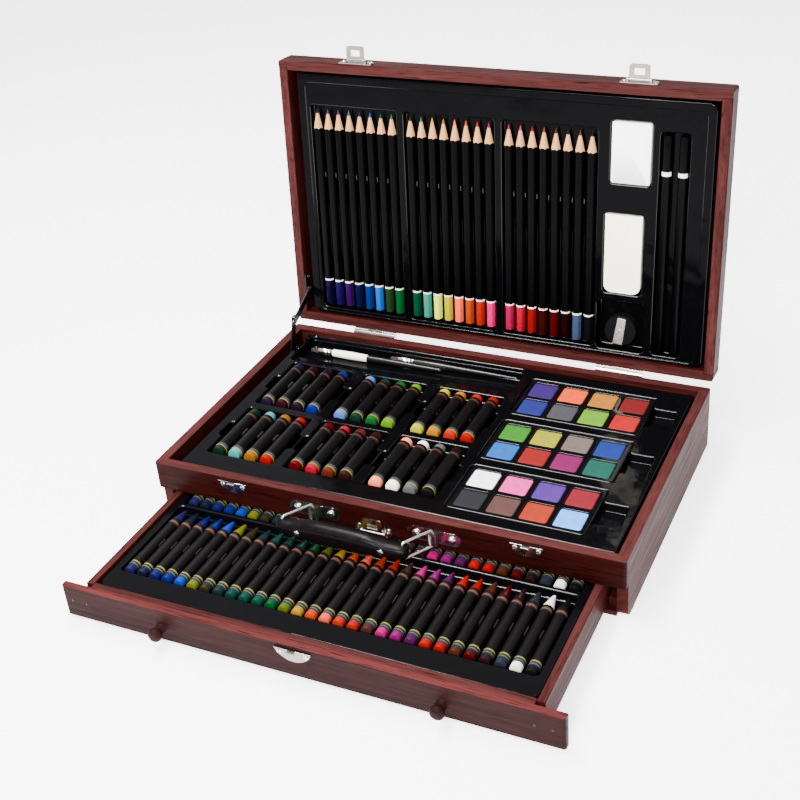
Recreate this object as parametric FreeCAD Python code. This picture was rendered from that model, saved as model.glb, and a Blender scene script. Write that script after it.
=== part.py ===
import FreeCAD, Part
import math
import os

V = FreeCAD.Vector
X_AXIS = V(1, 0, 0)
Y_AXIS = V(0, 1, 0)
Z_AXIS = V(0, 0, 1)
os.makedirs("parts", exist_ok=True)

# Lengths in mm. X to the right, Y to the back, Z up; the origin is the middle of the case's underside.

# Case
case_width = 376.0
case_depth = 234.0
case_height = 52.7
wall = 8.0
joint_tongue = 5.5
edge_round = 2.0
front_board_share = 0.5636
bottom_thickness = 4.0
divider_up = 0.5
divider_thickness = 3.0
divider_groove = 2.5
side_corner_round = 7.0
runner_width = 7.2
runner_height = 8.0
runner_end_gap = 5.0
over = 2.0

# Lid and its hinge
lid_depth = 19.0
panel_thickness = 4.0
panel_rabbet = 4.0
lid_gap = 0.3
lid_open_degrees = 94.45
hinge_behind = 3.7
hinge_below_rim = 0.9
hinge_centre = 111.5
hinge_width = 40.0
hinge_leaf_thickness = 1.1
hinge_leaf_height = 15.0
hinge_barrel = 2.7
hinge_pin = 1.25
hinge_mid_half = 7.0
knuckle_gap = 0.2
hinge_screw_offset = 12.5

# Clearances
running_clearance = 0.05
clear = 0.3

# Small screws
screw_head_radius = 1.9
screw_head_height = 0.8
screw_shank_radius = 0.9
screw_shank_length = 4.5
screw_sides = 8

# Upper tray
tray_left_gap = 8.0
tray_right_gap = 3.0
tray_front_gap = 4.0
tray_back_gap = 1.5
tray_below_rim = 3.1
tray_sheet = 1.0
tray_skirt = 1.2
tray_corner = 7.0
pocket_corner = 3.0
corner_steps = 3
stay_notch_ahead = 8.0
stay_notch_behind = 14.0
stay_notch_depth = 4.0

# Oil pastels
pastel_radius = 5.3
pastel_axis_depth = 2.4
pastel_left_inset = 20.2
pastel_pitch = 14.15
pastel_group_pitch = 68.2
pastels_in_group = 4
pastel_front_inset = 22.0
pastel_row_gap = 14.5
pastel_tip_length = 5.0
pastel_tip_radius = 4.4
pastel_side_gap = 2.6
stick_sides = 8
pastel_end_gap = 3.4
notch_width = 4.0
notch_length = 20.0

# Paint palettes
palette_margin = 8.0
palette_centre_inset = 78.7
palette_forward = 1.0
palette_pitch = 65.5
palette_width = 105.0
palette_length = 55.0
palette_height = 7.2
palette_below_tray = 0.4
palette_corner = 3.0
palette_gap = 0.5
cake_columns = 4
cake_side = 20.6
cake_corner = 1.6
cake_pitch_x = 25.27
cake_pitch_y = 26.0
cake_height = 3.6
well_side = 21.6
well_depth = 4.0
finger_recess_reach = 19.7
finger_recess_half = 13.0

# Brush trough
trough_left_inset = 6.0
trough_right_gap = 9.3
trough_front_gap = 4.1
trough_step_width = 11.0
trough_deep_width = 32.0
trough_back_inset = 2.5
trough_step_depth = 3.6
trough_depth = 10.6
trough_gap_width = 14.0
trough_gap_inset = 75.0

# Brushes, each along X with its handle's tail to the right
brush_a_radius = 3.4
brush_a_end_radius = 1.6
brush_a_inset = 31.5
brush_a_length = 104.0
brush_a_behind_gap = 11.0
brush_b_radius = 3.0
brush_b_end_radius = 1.1
brush_b_inset = 106.0
brush_b_end_gap = 6.0
brush_b_behind_gap = 3.7
brush_swell_share = 0.2
ferrule_length = 14.0
hair_length = 10.0
hair_step = 0.5
hair_tip_radius = 0.9
brush_sides = 8

# Catches and latches
catch_centre = 117.5
catch_below_rim = 2.5
catch_half_width = 12.0
catch_height = 10.2
catch_straight = 2.0
plate_thickness = 0.8
flange_out = 1.6
hook_half_width = 3.0
hook_out = 4.4
hook_lip = 0.7
hook_drop = 1.9
catch_screw_offset = 8.6
catch_screw_drop = 3.6
latch_pivot_out = 2.6
latch_half_width = 14.5
latch_plate_length = 12.5
latch_plate_start = 1.0
latch_pivot_up = 3.5
latch_screw_offset = 11.9
latch_screw_up = 6.2
latch_pin = 0.8
latch_ear_radius = 1.6
latch_ear_inner = 8.2
latch_ear_outer = 9.6
flap_half_width = 8.0
flap_length = 11.5
flap_thickness = 0.8
flap_barrel = 1.4
flap_window_half = 4.0
flap_window_start = 3.5
flap_window_end = 8.5
flap_lip = 1.0
flap_corner = 2.0
drawer_latch_up = 3.3

# Carrying handle
bracket_centre = 48.0
bracket_below_rim = 12.2
bracket_length = 42.0
bracket_half_height = 5.5
bracket_thickness = 0.9
bridge_half_width = 4.5
bridge_out = 5.0
bridge_round = 2.2
ring_axis_out = 2.6
ring_wire = 1.2
ring_sides = 8
ring_corner = 1.5
ring_corner_steps = 3
ring_half_height = 7.0
ring_length = 25.1
ring_rest_degrees = 33.3
dome_offset = 13.7
dome_radius = 3.2
dome_height = 2.3
dome_shank = 1.2
dome_shank_length = 6.0
dome_sides = 12
dome_rim_share = 0.33
dome_shoulder_shares = (0.72, 0.73)
grip_end = 4.3
grip_half_height = 8.8
grip_half_thickness = 7.2
grip_sides = 16
grip_shares = ((1.0, 0.364, 0.472), (0.964, 0.545, 0.778), (0.889, 0.619, 0.917),
               (0.717, 0.625, 0.972), (0.421, 0.943, 1.0), (0.0, 1.0, 1.0))
rivet_offset = 33.5
rivet_shank = 1.3
rivet_head = 2.7
rivet_head_height = 1.2
rivet_seat = 6.3

# Folding stay at the left
stay_lid_a = 29.0
stay_lid_b = 3.5
stay_case_inset = 31.0
stay_above_divider = 6.8
stay_upper_length = 35.0
stay_lower_length = 31.0
stay_plate_thickness = 1.0
stay_link_thickness = 1.0
stay_lower_offset = 1.3
stay_upper_offset = 3.0
stay_half_width = 3.2
stay_joint_half_width = 4.0
stay_pin = 1.2
stay_pin_head = 2.6
stay_head_height = 0.8
stay_loose_hole = 2.5
stay_plate_end = 5.0
stay_plate_tail = 16.0

# Lid tray and its contents
lid_tray_left_gap = 7.0
lid_tray_right_gap = 2.5
lid_tray_low_gap = 1.0
lid_tray_high_gap = 2.5
lid_tray_depth = 2.5
pencil_radius = 3.6
pencil_axis_b = 5.8
pencil_left_inset = 15.5
pencil_pitch = 9.8
pencil_group_pitch = 85.4
pencils_in_group = 8
pencil_low_inset = 8.9
pencil_high_inset = 29.3
pencil_cone = 17.0
pencil_lead = 1.0
pencil_sides = 6
pencil_side_gap = 1.6
pencil_end_gap = 3.5
ridge_first = 44.1
ridge_step = 60.0
ridge_count = 2
ridge_length = 5.0
drawing_pencil_inset = 36.7
drawing_pencil_pitch = 12.6
drawing_pencil_count = 2
drawing_pencil_low_inset = 7.5
drawing_pencil_high_inset = 27.0
eraser_b = 3.0
eraser_thickness = 10.5
white_eraser_inset = 64.1
white_eraser_width = 30.4
white_eraser_high_inset = 19.5
white_eraser_length = 48.0
eraser_round = 1.6
cream_eraser_inset = 67.9
cream_eraser_width = 29.6
cream_eraser_low_inset = 55.6
cream_eraser_gap = 26.0
cream_corner = 6.5
sharpener_inset = 68.1
sharpener_low_inset = 22.0
sharpener_radius = 12.8
sharpener_height = 9.5
sharpener_b = 4.0
sharpener_slot_depth = 4.5
sharpener_block_half = 4.0
sharpener_block_end = 3.4
sharpener_block_reach = 11.5
sharpener_block_height = 6.0
sharpener_tilt_degrees = 8.0
sharpener_screw_radius = 1.8
sharpener_screw_height = 0.6
well_half_x = 20.0
well_low_inset = 4.5
well_length = 43.5
item_gap = 1.0

# Drawer, drawn at rest, pulled out
drawer_out = 126.4
drawer_front_bottom = 3.2
drawer_front_gap = 0.5
drawer_front_thickness = 5.5
drawer_side_gap = 0.5
drawer_board = 6.0
drawer_below_divider = 1.2
drawer_back_drop = 2.0
drawer_box_length = 215.0
drawer_bottom_up = 1.7
drawer_bottom_thickness = 3.0
drawer_groove = 2.5
drawer_notch_depth = 3.5
drawer_notch_drop = 3.5
drawer_tray_gap = 0.7
drawer_tray_drop = 1.8
crayon_radius = 4.25
crayon_axis_depth = 3.2
crayon_shift = 0.3
crayon_pitch = 10.6
crayon_margin = 5.0
crayon_cone = 13.0
crayon_tip_radius = 1.2
crayon_front_inset = 22.4
crayon_row_gap = 8.9
crayon_back_inset = 17.7
crayon_side_gap = 1.6
crayon_end_gap = 2.6
knob_offset = 106.0
knob_up = 10.3
knob_neck = 3.6
knob_head = 5.3
knob_length = 11.0
knob_base_share = 1.15
knob_neck_share = 0.28
knob_head_share = 0.62
knob_shoulder_shares = (0.93, 0.84)
knob_crown_share = 0.55
knob_sides = 16
knob_tenon = 2.4
knob_tenon_length = 7.0
drawer_catch_half_width = 13.5
drawer_catch_drop = 2.5

# Places in the case
half_w = case_width / 2
half_d = case_depth / 2
inner_w = half_w - wall
front_y = -half_d
side_front = -half_d + joint_tongue
side_back = half_d - joint_tongue
front_board_bottom = case_height * front_board_share
divider_bottom = front_board_bottom + divider_up
divider_top = divider_bottom + divider_thickness
runner_inner = inner_w - runner_width
hinge_y = half_d + hinge_behind
hinge_z = case_height - hinge_below_rim
lid_tilt = lid_open_degrees - 90.0
lid_length = case_depth

# Places in the upper tray
tray_left = -inner_w + tray_left_gap
tray_right = inner_w - tray_right_gap
tray_front = front_y + wall + tray_front_gap
tray_back = half_d - wall - tray_back_gap
tray_top = case_height - tray_below_rim
pastel_first_x = tray_left + pastel_left_inset
pastel_axis_z = tray_top - pastel_axis_depth
pastel_front_start = tray_front + pastel_front_inset
palette_centre_x = tray_right - palette_centre_inset
palette_left = palette_centre_x - palette_width / 2 - palette_gap
palette_middle_y = (tray_front + tray_back) / 2 - palette_forward
palette_room = tray_back - tray_front - palette_margin * 2 - palette_length - palette_gap * 2
palette_count = 1 + int(palette_room // palette_pitch)
pastel_group_width = pastel_pitch * (pastels_in_group - 1) + (pastel_radius + pastel_side_gap) * 2
pastel_room = palette_left - item_gap - pastel_first_x + pastel_radius + pastel_side_gap
pastel_groups = 1 + int((pastel_room - pastel_group_width) // pastel_group_pitch)
palette_top = tray_top - palette_below_tray
palette_bottom = palette_top - palette_height
trough_left = tray_left + trough_left_inset
trough_right = palette_left - trough_right_gap
trough_back = tray_back - trough_back_inset
trough_step_back = trough_back - trough_deep_width
trough_front = trough_step_back - trough_step_width
trough_gap_count = pastel_groups - 1
pastel_back_end = trough_front - trough_front_gap - pastel_end_gap
pastel_length = (pastel_back_end - pastel_front_start - pastel_row_gap) / 2
pastel_back_start = pastel_back_end - pastel_length
trough_step_z = tray_top - trough_step_depth
trough_floor = tray_top - trough_depth
brush_a_start = tray_left + brush_a_inset
brush_a_y = trough_back - brush_a_behind_gap
brush_b_start = tray_left + brush_b_inset
brush_b_y = trough_back - brush_b_behind_gap
brush_b_length = trough_right - brush_b_end_gap - brush_b_start

# Places on the front, of the stay, in the lid and in the drawer
catch_top = case_height - catch_below_rim
drawer_latch_z = front_board_bottom + drawer_latch_up
bracket_z = case_height - bracket_below_rim
stay_case_y = half_d - stay_case_inset
stay_case_z = divider_top + stay_above_divider
lid_tray_left = -inner_w + lid_tray_left_gap
lid_tray_right = inner_w - lid_tray_right_gap
lid_tray_low = wall + lid_tray_low_gap
lid_tray_high = lid_length - wall - lid_tray_high_gap
pencil_first_x = lid_tray_left + pencil_left_inset
pencil_low = lid_tray_low + pencil_low_inset
pencil_high = lid_tray_high - pencil_high_inset
drawing_pencil_x = lid_tray_right - drawing_pencil_inset
drawing_pencil_low = lid_tray_low + drawing_pencil_low_inset
drawing_pencil_high = lid_tray_high - drawing_pencil_high_inset
white_eraser_low = lid_tray_high - white_eraser_high_inset - white_eraser_length
cream_eraser_low = lid_tray_low + cream_eraser_low_inset
cream_eraser_length = white_eraser_low - cream_eraser_gap - cream_eraser_low
sharpener_x = lid_tray_right - sharpener_inset
sharpener_a = lid_tray_low + sharpener_low_inset
pencil_corner = pencil_radius / math.cos(math.pi / pencil_sides)
pencil_reach = pencil_radius + pencil_side_gap
pencil_group_width = pencil_pitch * (pencils_in_group - 1) + pencil_reach * 2
pencil_room = sharpener_x - well_half_x - item_gap - pencil_first_x + pencil_reach
pencil_groups = 1 + int((pencil_room - pencil_group_width) // pencil_group_pitch)
drawer_front_y = front_y - drawer_out
drawer_front_top = front_board_bottom - drawer_front_gap
drawer_box_half = runner_inner - drawer_side_gap
drawer_box_bottom = bottom_thickness + clear
drawer_box_top = divider_bottom - drawer_below_divider
drawer_back_top = drawer_box_top - drawer_back_drop
drawer_bottom_z = drawer_box_bottom + drawer_bottom_up
drawer_tray_top = drawer_box_top - drawer_tray_drop
drawer_catch_top = drawer_front_top - drawer_catch_drop
crayon_axis_z = drawer_tray_top - crayon_axis_depth
drawer_box_front_y = drawer_front_y + drawer_front_thickness
crayon_reach = crayon_radius + crayon_side_gap
crayon_room = (drawer_box_half - drawer_board - drawer_tray_gap - crayon_margin - crayon_reach) * 2
crayons_in_row = 1 + int(crayon_room // crayon_pitch)
crayon_first_x = -crayon_pitch * (crayons_in_row - 1) / 2 - crayon_shift
crayon_front_start = drawer_box_front_y + drawer_board + crayon_front_inset
crayon_back_end = drawer_box_front_y + drawer_box_length - drawer_board - crayon_back_inset
crayon_length = (crayon_back_end - crayon_front_start - crayon_row_gap) / 2
crayon_back_start = crayon_back_end - crayon_length
knob_z = drawer_front_bottom + knob_up


# Shapes
def block(x0, x1, y0, y1, z0, z1):
    return Part.makeBox(x1 - x0, y1 - y0, z1 - z0, V(x0, y0, z0))


def rod(radius, start, end):
    return Part.makeCylinder(radius, (end - start).Length, start, end - start)


def rounded(shape, radius, axis, keep=lambda point: True):
    edges = []
    for edge in shape.Edges:
        start = edge.Vertexes[0].Point
        way = edge.Vertexes[-1].Point - start
        if way.cross(axis).Length < clear and keep(start):
            edges.append(edge)
    return shape.makeFillet(radius, edges)


def prism(points, direction):
    return Part.Face(Part.makePolygon(points + points[:1])).extrude(direction)


# A block whose upright corners are rounded in a few flats
def pan(x0, x1, y0, y1, z0, z1, radius):
    rim = []
    centres = ((x1 - radius, y1 - radius), (x0 + radius, y1 - radius),
               (x0 + radius, y0 + radius), (x1 - radius, y0 + radius))
    for quarter, (x, y) in enumerate(centres):
        for step in range(corner_steps + 1):
            turn = math.pi / 2 * (quarter + step / corner_steps)
            rim.append(V(x + radius * math.cos(turn), y + radius * math.sin(turn), z0))
    return prism(rim, V(0, 0, z1 - z0))


def joined(shapes):
    return shapes[0].fuse(shapes[1:]).removeSplitter()


# A solid between rims of corners; halved sides let a rim change its shape along the way
def flat_sided(rims, halved=False, closed=False):
    outlines = [] if closed else [rims[0], rims[-1]]
    following = rims[1:] + rims[:1] if closed else rims[1:]
    for low, high in zip(rims, following):
        for i in range(len(low)):
            if halved:
                outlines.append([low[i - 1], low[i], high[i]])
                outlines.append([low[i - 1], high[i], high[i - 1]])
            else:
                outlines.append([low[i - 1], low[i], high[i], high[i - 1]])
    faces = [Part.Face(Part.makePolygon(corners + corners[:1])) for corners in outlines]
    solid = Part.makeSolid(Part.makeShell(faces))
    if solid.Volume < 0:
        solid.reverse()
    return solid


# A turned form along a line; small pieces that repeat have flat sides in place of round ones
def turned(profile, start, direction, sides):
    rims = []
    for radius, height in profile:
        rims.append([])
        for i in range(sides):
            turn = math.pi * (2 * i + 1) / sides
            rims[-1].append(V(radius * math.sin(turn), radius * math.cos(turn), height))
    solid = flat_sided(rims)
    axis = FreeCAD.Rotation(Z_AXIS, direction).Axis
    solid.rotate(V(0, 0, 0), axis, math.degrees(Z_AXIS.getAngle(direction)))
    solid.translate(start)
    return solid


def turned_yz(y, z, degrees):
    c = math.cos(math.radians(degrees))
    s = math.sin(math.radians(degrees))
    return y * c - z * s, y * s + z * c


# The lid is drawn upright, with X across, Y into the lid and Z from the hinge to the free edge
closed_edge_y = half_d - hinge_y
closed_edge_z = case_height + lid_gap - hinge_z
open_edge_y, open_edge_z = turned_yz(closed_edge_y, closed_edge_z, -lid_open_degrees)
lid_origin = V(0, hinge_y + open_edge_y, hinge_z + open_edge_z)


def on_lid(shape):
    placed = shape.copy()
    placed.rotate(V(0, 0, 0), V(1, 0, 0), -lid_tilt)
    placed.translate(lid_origin)
    return placed


def point_on_lid(x, b, a):
    y, z = turned_yz(b, a, -lid_tilt)
    return V(x, lid_origin.y + y, lid_origin.z + z)


def save(name, shapes):
    solids = []
    for shape in shapes:
        solids.extend(shape.Solids)
    for solid in solids:
        if not solid.isValid():
            print("not valid:", name)
    whole = solids[0] if len(solids) == 1 else Part.makeCompound(solids)
    whole.exportStep("parts/" + name + ".step")
    print(name, len(solids), round(whole.Volume))


# Screws: a low domed head on a plate and a shank in the wood
def screw_solid(place, direction):
    rim = screw_head_height / 2
    shank = turned([(screw_shank_radius, -screw_shank_length), (screw_shank_radius, rim)],
                   place, direction, screw_sides)
    head = turned([(screw_head_radius, 0), (screw_head_radius, rim), (screw_shank_radius, screw_head_height)],
                  place, direction, screw_sides)
    return joined([head, shank])


def screw_hole(place, direction):
    return turned([(screw_shank_radius, -screw_shank_length), (screw_shank_radius, over)],
                  place, direction, screw_sides)


def dome_hole(place):
    return turned([(dome_shank, -dome_shank_length), (dome_shank, over)], place, outwards, dome_sides)


# Screw places: head seats on plates, and which way each head faces
outwards = -Y_AXIS
backwards = Y_AXIS
inwards = X_AXIS
catch_screw_places = []
for side in (-1, 1):
    for end in (-1, 1):
        x = side * catch_centre + end * catch_screw_offset
        catch_screw_places.append(V(x, front_y - plate_thickness, catch_top - catch_screw_drop))
drawer_latch_screw_places = []
for end in (-1, 1):
    z = drawer_latch_z - latch_pivot_up + latch_screw_up
    drawer_latch_screw_places.append(V(end * latch_screw_offset, front_y - plate_thickness, z))
case_hinge_screw_places = []
lid_hinge_screw_places = []
for side in (-1, 1):
    for end in (-1, 1):
        x = side * hinge_centre + end * hinge_screw_offset
        z = hinge_z - hinge_leaf_height / 2
        case_hinge_screw_places.append(V(x, half_d + hinge_leaf_thickness, z))
        lid_hinge_screw_places.append(V(x, hinge_leaf_height / 2, -hinge_leaf_thickness))
stay_plate_x = -inner_w + stay_plate_thickness
stay_screw_along = stay_plate_tail - stay_plate_end
stay_case_screw_place = V(stay_plate_x, stay_case_y + stay_screw_along, stay_case_z)
stay_lid_screw_place = V(stay_plate_x, stay_lid_b + stay_plate_end / 2, stay_lid_a + stay_screw_along)
lid_latch_screw_places = []
for side in (-1, 1):
    for end in (-1, 1):
        x = side * catch_centre + end * latch_screw_offset
        lid_latch_screw_places.append(V(x, latch_screw_up, lid_length + plate_thickness))
drawer_catch_screw_places = []
for end in (-1, 1):
    x = end * (catch_screw_offset + drawer_catch_half_width - catch_half_width)
    z = drawer_catch_top - catch_screw_drop
    drawer_catch_screw_places.append(V(x, drawer_front_y - plate_thickness, z))
dome_places = []
for side in (-1, 1):
    for end in (-1, 1):
        x = side * bracket_centre + end * dome_offset
        dome_places.append(V(x, front_y - bracket_thickness, bracket_z))


# Case boards
def front_board():
    board = block(-half_w, half_w, front_y, front_y + wall, front_board_bottom, case_height)
    board = rounded(board, edge_round, Z_AXIS, lambda p: p.y < side_front)
    cuts = [block(-inner_w, inner_w, side_front, front_y + wall + over, 0, divider_top)]
    for side in (-1, 1):
        x0, x1 = sorted((side * inner_w, side * (half_w + over)))
        cuts.append(block(x0, x1, side_front, front_y + wall + over, 0, case_height + over))
    for place in catch_screw_places + drawer_latch_screw_places:
        cuts.append(screw_hole(place, outwards))
    for place in dome_places:
        cuts.append(dome_hole(place))
    return board.cut(cuts)


def side_board(side):
    x0, x1 = sorted((side * inner_w, side * half_w))
    board = block(x0, x1, side_front, side_back, 0, case_height)
    board = rounded(board, side_corner_round, X_AXIS, lambda p: p.z < clear and p.y < 0)
    g0, g1 = sorted((side * (inner_w - over), side * (inner_w + divider_groove)))
    groove = block(g0, g1, side_front - over, side_back + over, divider_bottom, divider_top)
    return board.cut(groove)


def back_board():
    board = block(-half_w, half_w, half_d - wall, half_d, 0, case_height)
    board = rounded(board, edge_round, Z_AXIS, lambda p: p.y > side_back)
    cuts = [block(-inner_w, inner_w, half_d - wall - over, side_back,
                  divider_bottom, divider_top)]
    for side in (-1, 1):
        x0, x1 = sorted((side * inner_w, side * (half_w + over)))
        cuts.append(block(x0, x1, half_d - wall - over, side_back, -over, case_height + over))
    for place in case_hinge_screw_places:
        cuts.append(screw_hole(place, backwards))
    return board.cut(cuts)


left_side = side_board(-1)
left_side = left_side.cut(screw_hole(stay_case_screw_place, inwards))
save("case_front_board", [front_board()])
save("case_left_side", [left_side])
save("case_right_side", [side_board(1)])
save("case_back_board", [back_board()])
in_groove = inner_w + divider_groove
divider = block(-in_groove, in_groove, side_front, side_back, divider_bottom, divider_top)
save("case_divider", [divider])
save("case_bottom", [block(-inner_w, inner_w, side_front, half_d - wall, 0, bottom_thickness)])
runners = []
for side in (-1, 1):
    x0, x1 = sorted((side * runner_inner, side * inner_w))
    runners.append(block(x0, x1, side_front + runner_end_gap, half_d - wall - runner_end_gap,
                         bottom_thickness, bottom_thickness + runner_height))
save("drawer_runners", runners)


# Vacuum-formed trays: a thin top with a skirt, and pockets hung from it
def formed_tray(outline, top, floor, pockets, notches=()):
    x0, x1, y0, y1 = outline
    s = tray_skirt
    shell = pan(x0, x1, y0, y1, floor, top, tray_corner)
    room = pan(x0 + s, x1 - s, y0 + s, y1 - s, floor - over, top - tray_sheet, tray_corner - s)
    for nx0, nx1, ny0, ny1 in notches:
        shell = shell.cut(block(nx0, nx1, ny0, ny1, floor - over, top + over))
        room = room.cut(block(nx0 - s, nx1 + s, ny0 - s, ny1 + s, floor - over, top))
    shell = shell.cut(room)
    cups = []
    hollows = []
    for px0, px1, py0, py1, pz in pockets:
        hollows.append(pan(px0, px1, py0, py1, pz, top + over, pocket_corner))
        t = tray_sheet
        low = max(pz - t, floor)
        cups.append(block(px0 - t, px1 + t, py0 - t, py1 + t, low, top - t / 2))
    inside = block(x0 + s / 2, x1 - s / 2, y0 + s / 2, y1 - s / 2, floor, top)
    shell = shell.fuse([cup.common(inside) for cup in cups])
    return shell.cut(hollows).removeSplitter()


def palette_centre_y(row):
    return palette_middle_y + palette_pitch * ((palette_count - 1) / 2 - row)


def base_tray():
    pockets = []
    for group in range(pastel_groups):
        x0 = pastel_first_x + pastel_group_pitch * group - pastel_radius - pastel_side_gap
        x1 = x0 + pastel_group_width
        for start in (pastel_front_start, pastel_back_start):
            y0 = start - pastel_end_gap
            y1 = start + pastel_length + pastel_end_gap
            mid = (y0 + y1) / 2
            floor = pastel_axis_z - pastel_radius
            pockets.append((x0, x1, y0, y1, floor))
            pockets.append((x0 - notch_width, x1 + notch_width,
                            mid - notch_length / 2, mid + notch_length / 2, floor))
    for row in range(palette_count):
        y = palette_centre_y(row)
        x0 = palette_left
        x1 = palette_left + palette_width + palette_gap * 2
        reach_y = palette_length / 2 + palette_gap
        pockets.append((x0, x1, y - reach_y, y + reach_y, palette_bottom))
        pockets.append((x1 - pocket_corner * 2, x1 + finger_recess_reach,
                        y - finger_recess_half, y + finger_recess_half, palette_bottom))
    pockets.append((trough_left, trough_right, trough_step_back, trough_back, trough_floor))
    pockets.append((trough_left, trough_right, trough_front, trough_step_back + pocket_corner, trough_step_z))
    for gap in range(trough_gap_count):
        centre = tray_left + trough_gap_inset + pastel_group_pitch * gap
        pockets.append((centre - trough_gap_width / 2, centre + trough_gap_width / 2,
                        trough_front, trough_step_back + pocket_corner, trough_floor))
    notch = (tray_left - over, tray_left + stay_notch_depth, stay_case_y - stay_notch_ahead,
             stay_case_y + stay_notch_behind)
    outline = (tray_left, tray_right, tray_front, tray_back)
    return formed_tray(outline, tray_top, divider_top, pockets, [notch])


save("base_tray", [base_tray()])


# Oil pastels: a wrapped barrel with a bare, slightly narrower tip at the back
def pastel(x, start):
    tip = pastel_length - pastel_tip_length
    profile = [(pastel_radius, 0), (pastel_radius, tip), (pastel_tip_radius, pastel_length)]
    return turned(profile, V(x, start, pastel_axis_z), backwards, stick_sides)


def pastel_row(start):
    row = []
    for group in range(pastel_groups):
        for place in range(pastels_in_group):
            x = pastel_first_x + pastel_group_pitch * group + pastel_pitch * place
            row.append(pastel(x, start))
    return row


save("pastels_back_row", pastel_row(pastel_back_start))
save("pastels_front_row", pastel_row(pastel_front_start))


# Paint palettes with four by two wells, and the cakes in them
def cake_places(row):
    y = palette_centre_y(row)
    places = []
    for column in range(cake_columns):
        x = palette_centre_x + cake_pitch_x * (column - (cake_columns - 1) / 2)
        for line in (-1, 1):
            places.append((x, y + line * cake_pitch_y / 2))
    return places


def square_pan(x, y, side, z0, z1, corner):
    edge = side / 2
    flat = edge - corner
    rim = []
    for dx, dy in ((-flat, -edge), (flat, -edge), (edge, -flat), (edge, flat),
                   (flat, edge), (-flat, edge), (-edge, flat), (-edge, -flat)):
        rim.append(V(x + dx, y + dy, z0))
    return prism(rim, V(0, 0, z1 - z0))


palettes = []
cakes = []
well_floor = palette_top - well_depth
for row in range(palette_count):
    y = palette_centre_y(row)
    body = pan(palette_centre_x - palette_width / 2, palette_centre_x + palette_width / 2,
               y - palette_length / 2, y + palette_length / 2, palette_bottom, palette_top, palette_corner)
    wells = []
    for x, cy in cake_places(row):
        wells.append(square_pan(x, cy, well_side, well_floor, palette_top + over, cake_corner))
        cakes.append(square_pan(x, cy, cake_side, well_floor, well_floor + cake_height, cake_corner))
    palettes.append(body.cut(wells))
save("paint_palettes", palettes)
save("paint_cakes", cakes)

# Brushes in the trough: handle, ferrule and hair
def brush(radius, end_radius, start, length, y):
    z = trough_floor + radius
    swell = length * brush_swell_share
    tail = V(start, y, z)
    handle = turned([(radius, 0), (radius, swell), (end_radius, length)], tail, inwards, brush_sides)
    ferrule = turned([(radius, 0), (radius, ferrule_length)], tail, -inwards, brush_sides)
    hair = turned([(radius - hair_step, 0), (hair_tip_radius, hair_length)],
                  tail - inwards * ferrule_length, -inwards, brush_sides)
    return handle, ferrule, hair


brushes = [brush(brush_a_radius, brush_a_end_radius, brush_a_start, brush_a_length, brush_a_y),
           brush(brush_b_radius, brush_b_end_radius, brush_b_start, brush_b_length, brush_b_y)]
save("brush_handles", [pieces[0] for pieces in brushes])
save("brush_ferrules", [pieces[1] for pieces in brushes])
save("brush_tips", [pieces[2] for pieces in brushes])


# Catches: a D-shaped plate with a flange along its top and a hook bent out and down
def catch_plate(x, y, top, half_width, holes):
    straight = top - catch_straight
    arc = Part.Arc(V(x + half_width, y, straight), V(x, y, top - catch_height),
                   V(x - half_width, y, straight))
    wire = Part.Wire([Part.makeLine(V(x - half_width, y, top), V(x + half_width, y, top)),
                      Part.makeLine(V(x + half_width, y, top), V(x + half_width, y, straight)),
                      arc.toShape(),
                      Part.makeLine(V(x - half_width, y, straight), V(x - half_width, y, top))])
    plate = Part.Face(wire).extrude(V(0, -plate_thickness, 0))
    flange = block(x - half_width, x + half_width, y - flange_out, y, top - plate_thickness, top)
    arm = block(x - hook_half_width, x + hook_half_width, y - hook_out, y, top - plate_thickness, top)
    lip = block(x - hook_half_width, x + hook_half_width, y - hook_out, y - hook_out + hook_lip,
                top - hook_drop, top)
    return joined([plate, flange, arm, lip]).cut([screw_hole(place, outwards) for place in holes])


catches = []
for side in (-1, 1):
    own = [place for place in catch_screw_places if place.x * side > 0]
    catches.append(catch_plate(side * catch_centre, front_y, catch_top, catch_half_width, own))
save("case_catches", catches)


# Latch bases and flaps, drawn on their face with X along the pin and Z along the plate
def latch_base():
    y = -plate_thickness
    low = latch_plate_start
    high = latch_plate_start + latch_plate_length
    shoulder = low + latch_plate_length / 2
    w = latch_half_width
    arc = Part.Arc(V(w, 0, shoulder), V(0, 0, high), V(-w, 0, shoulder))
    wire = Part.Wire([Part.makeLine(V(-w, 0, low), V(w, 0, low)),
                      Part.makeLine(V(w, 0, low), V(w, 0, shoulder)),
                      arc.toShape(), Part.makeLine(V(-w, 0, shoulder), V(-w, 0, low))])
    parts = [Part.Face(wire).extrude(V(0, y, 0))]
    for side in (-1, 1):
        x0, x1 = sorted((side * latch_ear_inner, side * latch_ear_outer))
        parts.append(rod(latch_ear_radius, V(x0, -latch_pivot_out, latch_pivot_up),
                         V(x1, -latch_pivot_out, latch_pivot_up)))
        parts.append(block(x0, x1, -latch_pivot_out, 0,
                           latch_pivot_up - latch_ear_radius, latch_pivot_up + latch_ear_radius))
    parts.append(rod(latch_pin, V(-latch_ear_outer, -latch_pivot_out, latch_pivot_up),
                     V(latch_ear_outer, -latch_pivot_out, latch_pivot_up)))
    return joined(parts)


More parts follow.
